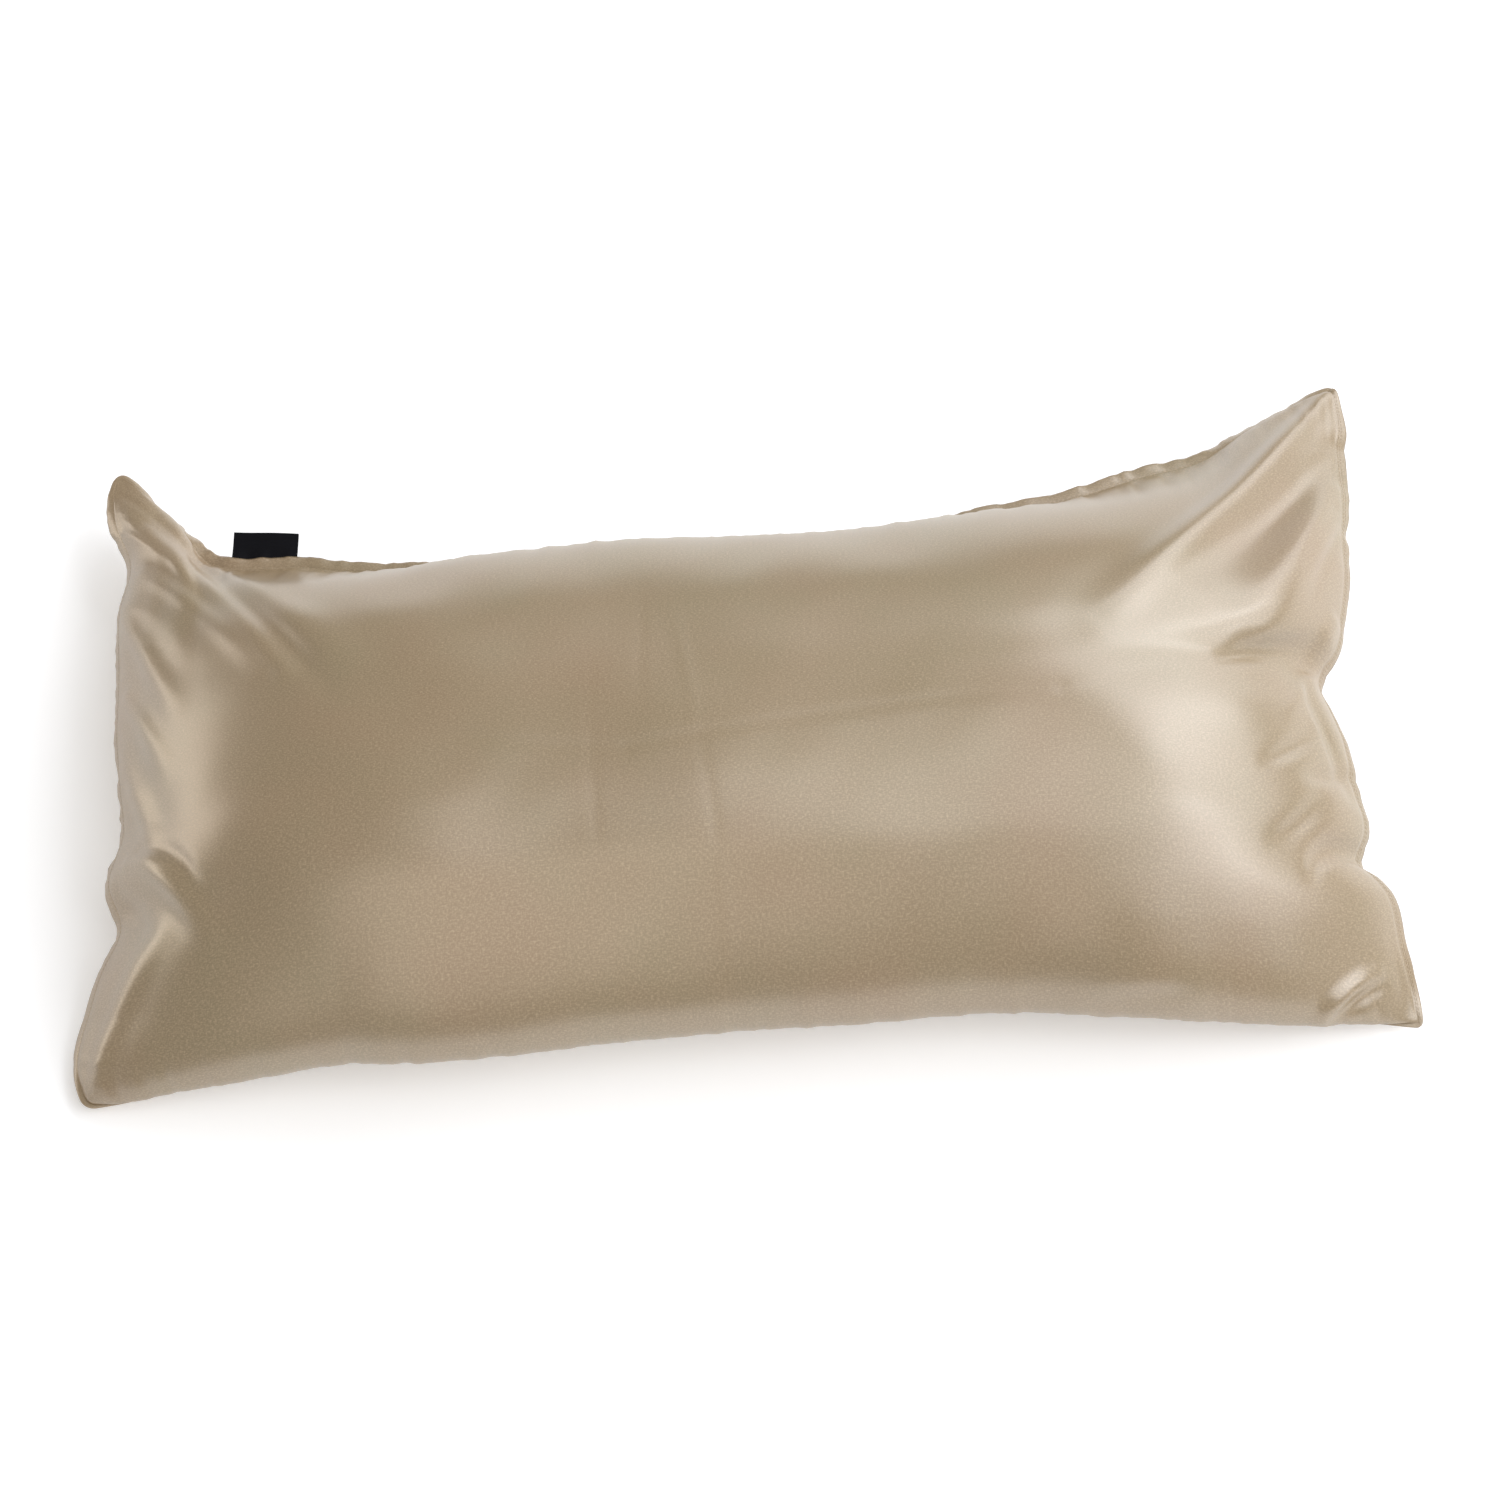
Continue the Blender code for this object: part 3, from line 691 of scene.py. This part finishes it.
def ring_quads(upper, lower):
    """Quads between two rings that run anticlockwise, the upper one further in or higher."""
    return np.column_stack([upper, lower, np.roll(lower, -1), np.roll(upper, -1)])


def map_place(u, v, out, panel):
    """Place on the cloth's flat map: the front panel below, the back panel above it."""
    side_u = np.where(u <= 0, -1, np.where(u >= 1, 1, 0))
    side_v = np.where(v <= 0, -1, np.where(v >= 1, 1, 0))
    x = RIM_WIDTH + u * FLAT_LENGTH + side_u * out
    y = RIM_WIDTH + v * FLAT_WIDTH + side_v * out
    y = y + panel * (FLAT_WIDTH + 2 * RIM_WIDTH + MAP_SPACE)
    return np.column_stack([x, y]) / MAP_SIZE


# A row of points round the cloth: their places, shares on the panel, distance out from the sewn
# line, and whether the faces above the row are on the front
Ring = namedtuple("Ring", "points u v out front")


def cloth_rings(loop, rim, back_edge):
    """Rings of the cloth in order: over the rim, its edge, under it, and down to the foot."""
    top, parting, under = rim_rows(loop, rim)
    u, v = loop_shares()
    rings = [Ring(row, u, v, at.out, True) for row, at in zip(top[1:], RIM_SECTION[1:])]
    rings.append(Ring(parting, u, v, RIM_WIDTH, True))
    rings += [Ring(row, u, v, at.out, False) for row, at in zip(under, reversed(RIM_SECTION))]
    rings += [Ring(*ring, 0, False) for ring in back_rings(back_edge, loop)]
    return rings


def cloth_faces(rings):
    """Faces of the panel, of the strips between rings and of the foot, and which are in front."""
    upper = border_indices()
    around = len(upper)
    first = (CELLS_X + 1) * (CELLS_Y + 1)
    quads = [grid_quads()]
    front = [np.ones(len(quads[0]), bool)]
    for k, ring in enumerate(rings):
        lower = first + around * k + np.arange(around)
        quads.append(ring_quads(upper, lower))
        front.append(np.full(around, ring.front))
        upper = lower
    faces = np.vstack(quads).tolist()
    faces.append(upper[::-1].tolist())
    return faces, np.append(np.concatenate(front), False)


def lay_flat(mesh, rings, front):
    """Give the cloth its flat map, on which front and back faces lie on a panel of their own."""
    grid_u, grid_v = np.meshgrid(spaced_shares(CELLS_X), spaced_shares(CELLS_Y))
    panel = map_place(grid_u.ravel(), grid_v.ravel(), 0, 0)
    front_map = [panel] + [map_place(ring.u, ring.v, ring.out, 0) for ring in rings]
    back_map = [panel] + [map_place(ring.u, ring.v, ring.out, 1) for ring in rings]
    corners = np.zeros(len(mesh.loops), np.int32)
    mesh.loops.foreach_get("vertex_index", corners)
    sizes = np.zeros(len(mesh.polygons), np.int32)
    mesh.polygons.foreach_get("loop_total", sizes)
    in_front = np.repeat(front, sizes)[:, None]
    flat = np.where(in_front, np.vstack(front_map)[corners], np.vstack(back_map)[corners])
    layer = mesh.uv_layers.new(name="OFBake")
    layer.uv.foreach_set("vector", flat.astype(np.float32).ravel())


def build_cloth():
    """The case's cloth as one closed mesh with its flat map, and the rim that it ends in."""
    loop = rim_loop()
    rim = level_rim(loop)
    grid = front_grid(rim_row(rim, RIM_SECTION[0], 1), loop)
    back_edge = rim_row(rim, RIM_SECTION[0], -1)
    rim = follow_panel(rim, grid)
    rings = cloth_rings(loop, rim, back_edge)
    faces, front = cloth_faces(rings)
    points = np.vstack([grid.reshape(-1, 3)] + [ring.points for ring in rings]) * MM
    mesh = bpy.data.meshes.new("case_cloth")
    mesh.from_pydata(points.tolist(), [], faces)
    lay_flat(mesh, rings, front)
    mesh.shade_smooth()
    return link_object("case_cloth", mesh), rim


# -------------------- stitches
# Rows of stitches: distance out from the sewn line, side of the rim, and on which stretch
StitchRow = namedtuple("StitchRow", "out side on_hem")
STITCH_ROWS = (
    StitchRow(1.9, 1, False),
    StitchRow(1.9, -1, False),
    StitchRow(2.4, 1, True),
    StitchRow(4.6, 1, True),
    StitchRow(2.4, -1, True),
    StitchRow(4.6, -1, True),
)
STITCH_PITCH = 3.0
STITCH_LENGTH = 2.3
STITCH_HALF = 0.2
STITCH_SINK = 0.08
STITCH_SIDES = 5
# Least share of plain hem under a hem stitch, and largest under a seam stitch
HEM_FROM = 0.98
SEAM_TO = 0.02
# Section sizes along one stitch: share of its length, and share of its full thickness
STITCH_SHAPE = ((-0.5, 0.3), (-0.36, 0.85), (0.0, 1.0), (0.36, 0.85), (0.5, 0.3))


def rim_height(out):
    """Half thickness of the rim's section at any distance out from the sewn line."""
    return np.interp(out, [s.out for s in RIM_SECTION], [s.half for s in RIM_SECTION])


def stitch_places(rim, row):
    """Middles of one row's stitches, with their ways along and up."""
    line = rim_row(rim, Station(row.out, rim_height(row.out) - STITCH_SINK), row.side)
    hem = rim.hem[:, 0]
    chosen = hem > HEM_FROM if row.on_hem else hem < SEAM_TO
    first = int(np.argmax(chosen & ~np.roll(chosen, 1)))
    order = np.roll(np.arange(len(line)), -first)
    order = order[chosen[order]]
    line = line[order]
    steps = np.linalg.norm(np.diff(line, axis=0), axis=1)
    place = np.concatenate([[0], np.cumsum(steps)])
    middles = np.arange(STITCH_PITCH / 2, place[-1], STITCH_PITCH)
    along = read_rows(line, place, middles + STITCH_LENGTH / 2)
    along -= read_rows(line, place, middles - STITCH_LENGTH / 2)
    up = read_rows(rim.up[order], place, middles) * row.side
    return read_rows(line, place, middles), unit(along), unit(up)


def build_stitches(rim):
    """All the stitches as one joined mesh of short, round, tapering threads."""
    turns = 2 * math.pi * np.arange(STITCH_SIDES) / STITCH_SIDES
    points = []
    faces = []
    count = 0
    for row in STITCH_ROWS:
        middle, along, up = stitch_places(rim, row)
        side = np.cross(along, up)
        for shift, share in STITCH_SHAPE:
            centre = middle + along * shift * STITCH_LENGTH
            for turn in turns:
                round_way = side * math.cos(turn) + up * math.sin(turn)
                points.append(centre + round_way * STITCH_HALF * share)
        faces += stitch_faces(count, len(middle))
        count += len(middle) * len(STITCH_SHAPE) * STITCH_SIDES
    mesh = bpy.data.meshes.new("case_stitches")
    mesh.from_pydata((np.vstack(points) * MM).tolist(), [], faces)
    mesh.shade_smooth()
    return link_object("case_stitches", mesh)


def stitch_faces(start, amount):
    """Faces of a row of stitches whose points are stored station by station, side by side."""
    stations = len(STITCH_SHAPE)

    def index(station, side, stitch):
        return start + (station * STITCH_SIDES + side % STITCH_SIDES) * amount + stitch

    faces = []
    for stitch in range(amount):
        for station in range(stations - 1):
            for side in range(STITCH_SIDES):
                faces.append((
                    index(station, side, stitch), index(station, side + 1, stitch),
                    index(station + 1, side + 1, stitch), index(station + 1, side, stitch),
                ))
        faces.append([index(0, side, stitch) for side in reversed(range(STITCH_SIDES))])
        faces.append([index(stations - 1, side, stitch) for side in range(STITCH_SIDES)])
    return faces


# -------------------- blank tab
TAB_X = -320.0
TAB_WIDTH = 46.0
# How far the strip stands out of the rim, is sewn in, and rises at its fold
TAB_DEPTH = 18.0
TAB_ROOT = 2.2
TAB_LIFT = 2.5
# Thickness of one layer, and the gap between both at the fold
TAB_LAYER = 0.36
TAB_GAP = 0.5
TAB_CELLS = 30
TAB_RUN_STEPS = 14
TAB_TURN_STEPS = 8
# Height of the free part's wave along the seam, and where along the strip it starts
TAB_WAVE = 0.35
TAB_WAVE_START = 0.1
# Edges that bend by more than this many degrees stay sharp
TAB_SHARP = 50
# The strip follows the rim at its root, and is straight from this distance out
TAB_FREE = 8.0
# Turn of the strip's free edge against the seam, in degrees
TAB_TURN = 2.0


def tab_path():
    """Middle line of the strip: out along its top layer, round the fold, and back beneath."""
    spread = (TAB_LAYER + TAB_GAP) / 2
    reach = np.linspace(-TAB_ROOT, TAB_DEPTH - spread, TAB_RUN_STEPS)
    open_share = np.clip(reach / TAB_DEPTH, 0, 1)
    apart = TAB_LAYER / 2 + (spread - TAB_LAYER / 2) * np.minimum(1, 2 * open_share)
    turn = np.linspace(math.pi / 2, -math.pi / 2, TAB_TURN_STEPS)[1:-1]
    out = np.concatenate([reach, TAB_DEPTH - spread + spread * np.cos(turn), reach[::-1]])
    height = np.concatenate([apart, spread * np.sin(turn), -apart[::-1]])
    return out, height + TAB_LIFT * np.clip(out / TAB_DEPTH, 0, 1) ** 2


def far_edge_line(rim):
    """Middle line of the far rim's outer edge, in order along X."""
    first = CELLS_X + CELLS_Y
    edge = rim.sewn + rim.out * RIM_WIDTH + rim.up * rim.wave
    return edge[first:first + CELLS_X + 1][::-1]


def read_line(line, x):
    """Point of a line at a place along X."""
    return read_rows(line, line[:, 0], x)[0]


def tab_ways(line):
    """Ways of the strip: along the seam, out of it, and up."""
    along = read_line(line, TAB_X + TAB_WIDTH / 2) - read_line(line, TAB_X - TAB_WIDTH / 2)
    along /= np.linalg.norm(along)
    out = np.cross((0, 0, 1), along)
    out /= np.linalg.norm(out)
    along = along - math.tan(math.radians(TAB_TURN)) * out
    along /= np.linalg.norm(along)
    up = np.cross(along, out)
    return along, out, up / np.linalg.norm(up)


def tab_column(line, ways, share, side):
    """One column of the strip's points, on its outer face (side 1) or inner face (side -1)."""
    along, out, up = ways
    path_out, path_up = tab_path()
    slope = unit(np.stack([np.gradient(path_out), np.gradient(path_up)], axis=1))
    reach = path_out - slope[:, 1] * side * TAB_LAYER / 2
    height = path_up + slope[:, 0] * side * TAB_LAYER / 2
    free = np.clip(path_out / TAB_FREE, 0, 1)[:, None]
    height += TAB_WAVE * math.sin(2 * math.pi * (share + TAB_WAVE_START)) * free[:, 0]
    straight = read_line(line, TAB_X) + along * share * TAB_WIDTH
    root = read_line(line, TAB_X + share * TAB_WIDTH)
    base = root * (1 - free) + straight * free
    return base + reach[:, None] * out + height[:, None] * up


def build_tab(rim):
    """The folded woven strip as a closed thin sheet, held in the far rim."""
    line = far_edge_line(rim)
    ways = tab_ways(line)
    shares = np.linspace(-0.5, 0.5, TAB_CELLS + 1)
    columns = [tab_column(line, ways, share, side) for side in (1, -1) for share in shares]
    mesh = bpy.data.meshes.new("tab_strip")
    faces = tab_faces(len(shares), len(columns[0]))
    mesh.from_pydata((np.vstack(columns) * MM).tolist(), [], faces)
    mesh.shade_smooth()
    mesh.set_sharp_from_angle(angle=math.radians(TAB_SHARP))
    return link_object("tab_strip", mesh)


def tab_faces(columns, steps):
    """Faces of a thin closed sheet stored as outer columns and then inner columns."""
    under = columns * steps
    faces = []
    for i in range(columns - 1):
        for j in range(steps - 1):
            a, b = i * steps + j, (i + 1) * steps + j
            faces.append((a, a + 1, b + 1, b))
            faces.append((under + a, under + b, under + b + 1, under + a + 1))
        for j in (0, steps - 1):
            a, b = i * steps + j, (i + 1) * steps + j
            corners = (a, b, under + b, under + a)
            faces.append(corners if j == 0 else corners[::-1])
    for i in (0, columns - 1):
        for j in range(steps - 1):
            a = i * steps + j
            corners = (a, under + a, under + a + 1, a + 1)
            faces.append(corners if i == 0 else corners[::-1])
    return faces


# -------------------- materials
def new_material(name):
    """A material with its node tree and its main shader."""
    material = bpy.data.materials.new(name)
    material.use_nodes = True
    tree = material.node_tree
    return material, tree, tree.nodes["Principled BSDF"]


def link(tree, source, target):
    tree.links.new(source, target)


def add_node(tree, kind, **settings):
    """A node of the given kind, with its named properties and inputs set."""
    node = tree.nodes.new(kind)
    for name, value in settings.items():
        if hasattr(node, name):
            setattr(node, name, value)
        else:
            node.inputs[name.replace("_", " ")].default_value = value
    return node


def stretched_place(tree, scale):
    """Object coordinates in metres, stretched by a scale along each axis."""
    place = add_node(tree, "ShaderNodeTexCoord")
    mapping = add_node(tree, "ShaderNodeMapping", Scale=scale)
    link(tree, place.outputs["Object"], mapping.inputs["Vector"])
    return mapping.outputs["Vector"]


def noise(tree, scale, detail, stretch=(1, 1, 1)):
    node = add_node(tree, "ShaderNodeTexNoise", Scale=scale, Detail=detail)
    link(tree, stretched_place(tree, stretch), node.inputs["Vector"])
    return node.outputs["Fac"]


def ramp(tree, value, low, high):
    """A value between 0 and 1 mapped to between low and high."""
    node = add_node(tree, "ShaderNodeMapRange", To_Min=low, To_Max=high)
    link(tree, value, node.inputs["Value"])
    return node.outputs["Result"]


def color_sockets(node):
    """The colour inputs and the colour result of a mix node."""
    colors = [socket for socket in node.inputs if socket.type == "RGBA"]
    result = [socket for socket in node.outputs if socket.type == "RGBA"]
    return colors[0], colors[1], result[0]


def blend_colors(tree, value, first, second):
    node = add_node(tree, "ShaderNodeMix", data_type="RGBA")
    low, high, result = color_sockets(node)
    for socket, color in ((low, first), (high, second)):
        if isinstance(color, tuple):
            socket.default_value = (*color, 1)
        else:
            link(tree, color, socket)
    link(tree, value, node.inputs["Factor"])
    return result


def add_values(tree, first, second):
    node = add_node(tree, "ShaderNodeMath", operation="ADD")
    link(tree, first, node.inputs[0])
    link(tree, second, node.inputs[1])
    return node.outputs["Value"]


def bump(tree, shader, height, distance, strength):
    """Relief of the given height map, whose full height is a distance in metres."""
    node = add_node(tree, "ShaderNodeBump", Strength=strength, Distance=distance)
    link(tree, height, node.inputs["Height"])
    link(tree, node.outputs["Normal"], shader.inputs["Normal"])


# Threads of the weave: how many a millimetre across them, and how many slubs a millimetre along
THREADS_ACROSS = 1.15
SLUBS_ALONG = 0.5
# Share of each crossing thread in the grain
WARP_SHARE = 0.6
WEFT_SHARE = 0.4
CLOUD_SCALE = 9
SATIN_OLIVE = (0.245, 0.190, 0.106)
SATIN_ROSE = (0.262, 0.179, 0.101)
SATIN_PALE = (0.400, 0.297, 0.182)
# Ranges: rose in the ground by the clouds, pale threads by the grain, and roughness from both
ROSE_BY_CLOUDS = (-0.9, 1.9)
PALE_BY_GRAIN = (-1.9, 2.4)
ROUGH_BY_GRAIN = (0.20, 0.38)
ROUGH_BY_CLOUDS = (0.0, 0.09)
SATIN_BUMP = (0.00013, 0.5)
SATIN_IOR = 1.8
SATIN_SHEEN = 0.74
SHEEN_TINT = (1, 0.96, 0.91)


def cloth_threads(tree, across, along):
    """Noise stretched into threads, on the cloth's flat map in millimetres."""
    place = add_node(tree, "ShaderNodeTexCoord")
    mapping = add_node(tree, "ShaderNodeMapping", Scale=(along * MAP_SIZE, across * MAP_SIZE, 1))
    link(tree, place.outputs["UV"], mapping.inputs["Vector"])
    node = add_node(tree, "ShaderNodeTexNoise", Scale=1, Detail=2)
    link(tree, mapping.outputs["Vector"], node.inputs["Vector"])
    return node.outputs["Fac"]


def satin_material():
    """Champagne satin: a smooth sheen over fine crossing threads, with soft shifts of colour."""
    material, tree, shader = new_material("champagne_satin")
    warp = cloth_threads(tree, THREADS_ACROSS, SLUBS_ALONG)
    weft = cloth_threads(tree, SLUBS_ALONG, THREADS_ACROSS)
    grain = add_values(tree, ramp(tree, warp, 0, WARP_SHARE), ramp(tree, weft, 0, WEFT_SHARE))
    clouds = noise(tree, CLOUD_SCALE, 4)
    ground = blend_colors(tree, ramp(tree, clouds, *ROSE_BY_CLOUDS), SATIN_OLIVE, SATIN_ROSE)
    color = blend_colors(tree, ramp(tree, grain, *PALE_BY_GRAIN), ground, SATIN_PALE)
    link(tree, color, shader.inputs["Base Color"])
    rough_grain = ramp(tree, grain, *ROUGH_BY_GRAIN)
    rough_clouds = ramp(tree, clouds, *ROUGH_BY_CLOUDS)
    link(tree, add_values(tree, rough_grain, rough_clouds), shader.inputs["Roughness"])
    bump(tree, shader, grain, *SATIN_BUMP)
    shader.inputs["IOR"].default_value = SATIN_IOR
    shader.inputs["Specular IOR Level"].default_value = SATIN_SHEEN
    shader.inputs["Specular Tint"].default_value = (*SHEEN_TINT, 1)
    return material


THREAD_LIGHT = (0.36, 0.27, 0.165)
THREAD_DARK = (0.24, 0.17, 0.095)
TWIST_SCALE = 400
FIBRE_SCALE = 1200
THREAD_ROUGH = (0.35, 0.6)
THREAD_BUMP = (0.0001, 0.5)


def thread_material():
    """Sewing thread a little lighter than the satin, with its twist."""
    material, tree, shader = new_material("sewing_thread")
    twist = add_node(tree, "ShaderNodeTexWave", bands_direction="DIAGONAL", Scale=TWIST_SCALE)
    link(tree, stretched_place(tree, (1, 1, 1)), twist.inputs["Vector"])
    fibres = noise(tree, FIBRE_SCALE, 2)
    link(tree, blend_colors(tree, fibres, THREAD_DARK, THREAD_LIGHT), shader.inputs["Base Color"])
    link(tree, ramp(tree, fibres, *THREAD_ROUGH), shader.inputs["Roughness"])
    bump(tree, shader, twist.outputs["Fac"], *THREAD_BUMP)
    return material


TAB_LIGHT = (0.007, 0.007, 0.009)
TAB_DARK = (0.002, 0.002, 0.003)
RIB_SCALE = 110
RIB_WARP = 0.4
WEAVE_SCALE = 1600
WEAVE_STRETCH = (2.5, 1, 1)
TAB_ROUGH = (0.5, 0.75)
TAB_BUMP = (0.0002, 0.5)
TAB_SHEEN = 0.08


def tab_material():
    """Black ribbon with fine ribs along the seam and a dull, slightly uneven weave."""
    material, tree, shader = new_material("black_woven")
    ribs = add_node(
        tree, "ShaderNodeTexWave", bands_direction="Y", Scale=RIB_SCALE, Distortion=RIB_WARP
    )
    link(tree, stretched_place(tree, (1, 1, 1)), ribs.inputs["Vector"])
    weave = noise(tree, WEAVE_SCALE, 2, WEAVE_STRETCH)
    link(tree, blend_colors(tree, weave, TAB_DARK, TAB_LIGHT), shader.inputs["Base Color"])
    link(tree, ramp(tree, weave, *TAB_ROUGH), shader.inputs["Roughness"])
    bump(tree, shader, add_values(tree, ribs.outputs["Fac"], weave), *TAB_BUMP)
    shader.inputs["Specular IOR Level"].default_value = TAB_SHEEN
    return material


FLOOR_COLOR = (0.9, 0.9, 0.9)
FLOOR_ROUGH = 0.9
FLOOR_SHEEN = 0.1
# A faint glow keeps it as pale as a studio sweep
FLOOR_GLOW = 0.24


def floor_material():
    material, _, shader = new_material("pale_floor")
    shader.inputs["Base Color"].default_value = (*FLOOR_COLOR, 1)
    shader.inputs["Roughness"].default_value = FLOOR_ROUGH
    shader.inputs["Specular IOR Level"].default_value = FLOOR_SHEEN
    shader.inputs["Emission Color"].default_value = (1, 1, 1, 1)
    shader.inputs["Emission Strength"].default_value = FLOOR_GLOW
    return material


# -------------------- camera, floor and light
# The camera looks down on the case from its near side, turned a little, as in the photograph
CAMERA_AZIMUTH = 4.7
CAMERA_ELEVATION = 63.0
CAMERA_ROLL = 7.9
CAMERA_DISTANCE = 2.15
CAMERA_AIM = (0.010, -0.002, 0.0)
CAMERA_LENS = 75.0
SENSOR_WIDTH = 36.0


def make_camera():
    azimuth = math.radians(CAMERA_AZIMUTH)
    elevation = math.radians(CAMERA_ELEVATION)
    roll = math.radians(CAMERA_ROLL)
    back = Vector((
        math.sin(azimuth) * math.cos(elevation),
        -math.cos(azimuth) * math.cos(elevation),
        math.sin(elevation),
    ))
    right = Vector((math.cos(azimuth), math.sin(azimuth), 0))
    up = back.cross(right)
    rolled_right = math.cos(roll) * right - math.sin(roll) * up
    rolled_up = math.sin(roll) * right + math.cos(roll) * up
    place = Matrix((rolled_right, rolled_up, back)).transposed().to_4x4()
    place.translation = Vector(CAMERA_AIM) + back * CAMERA_DISTANCE
    camera = link_object("camera", bpy.data.cameras.new("camera"))
    camera.data.lens = CAMERA_LENS
    camera.data.sensor_width = SENSOR_WIDTH
    camera.matrix_world = place
    bpy.context.scene.camera = camera


LIGHT_DISTANCE = 5.0
COOL = (0.91, 0.94, 1.0)
WARM = (1.0, 0.90, 0.78)
WHITE = (1.0, 1.0, 1.0)
WORLD_STRENGTH = 0.25
# Wide softboxes that face the case. Azimuth runs anticlockwise from +X, in degrees. Width and
# height are in metres, and radiance is that of the softbox's face
Softbox = namedtuple("Softbox", "name azimuth elevation width height radiance color")
SOFTBOXES = (
    Softbox("softbox_near_right", -30, 40, 3.0, 3.0, 2.9, COOL),
    Softbox("softbox_right", 5, 40, 3.5, 3.5, 2.7, COOL),
    Softbox("softbox_far_right", 42, 40, 3.5, 3.5, 2.8, COOL),
    Softbox("softbox_low_right", 46, 12, 2.6, 1.4, 2.25, COOL),
    Softbox("softbox_far", 80, 40, 3.0, 3.0, 0.45, COOL),
    Softbox("softbox_left", 165, 8, 3.4, 1.4, 3.5, WARM),
    Softbox("softbox_near_left", -112, 45, 3.0, 3.0, 1.35, WARM),
    Softbox("softbox_above", -45, 75, 3.2, 3.2, 1.6, WHITE),
)


def way_from(azimuth, elevation):
    """Unit vector at an elevation and at an azimuth from +X, in degrees."""
    azimuth = math.radians(azimuth)
    elevation = math.radians(elevation)
    return Vector((
        math.cos(azimuth) * math.cos(elevation),
        math.sin(azimuth) * math.cos(elevation),
        math.sin(elevation),
    ))


def add_softbox(box):
    way = way_from(box.azimuth, box.elevation)
    light = bpy.data.lights.new(box.name, "AREA")
    light.shape = "RECTANGLE"
    light.size = box.width
    light.size_y = box.height
    light.color = box.color
    light.energy = box.radiance * math.pi * box.width * box.height
    softbox = link_object(box.name, light)
    softbox.location = way * LIGHT_DISTANCE
    softbox.rotation_euler = way.to_track_quat("Z", "Y").to_euler()


def make_light():
    for box in SOFTBOXES:
        add_softbox(box)
    world = bpy.data.worlds.new("studio")
    world.use_nodes = True
    background = world.node_tree.nodes["Background"]
    background.inputs["Color"].default_value = (*WHITE, 1)
    background.inputs["Strength"].default_value = WORLD_STRENGTH
    bpy.context.scene.world = world


# Side of the floor, and its height, a little below the foot
FLOOR_SIZE = 14.0
FLOOR_HEIGHT = -0.0005


def make_floor():
    half = FLOOR_SIZE / 2
    mesh = bpy.data.meshes.new("floor")
    mesh.from_pydata(
        [(-half, -half, 0), (half, -half, 0), (half, half, 0), (-half, half, 0)], [], [(0, 1, 2, 3)]
    )
    mesh.materials.append(floor_material())
    floor = link_object("floor", mesh)
    floor.location.z = FLOOR_HEIGHT


make_camera()
make_light()
make_floor()
bpy.context.scene.view_settings.view_transform = "Standard"

cloth, cloth_rim = build_cloth()
cloth.data.materials.append(satin_material())
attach(cloth, "root")
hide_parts("case")

stitches = build_stitches(cloth_rim)
stitches.data.materials.append(thread_material())
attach(stitches, "root")

tab = build_tab(cloth_rim)
tab.data.materials.append(tab_material())
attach(tab, "root")
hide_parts("label")
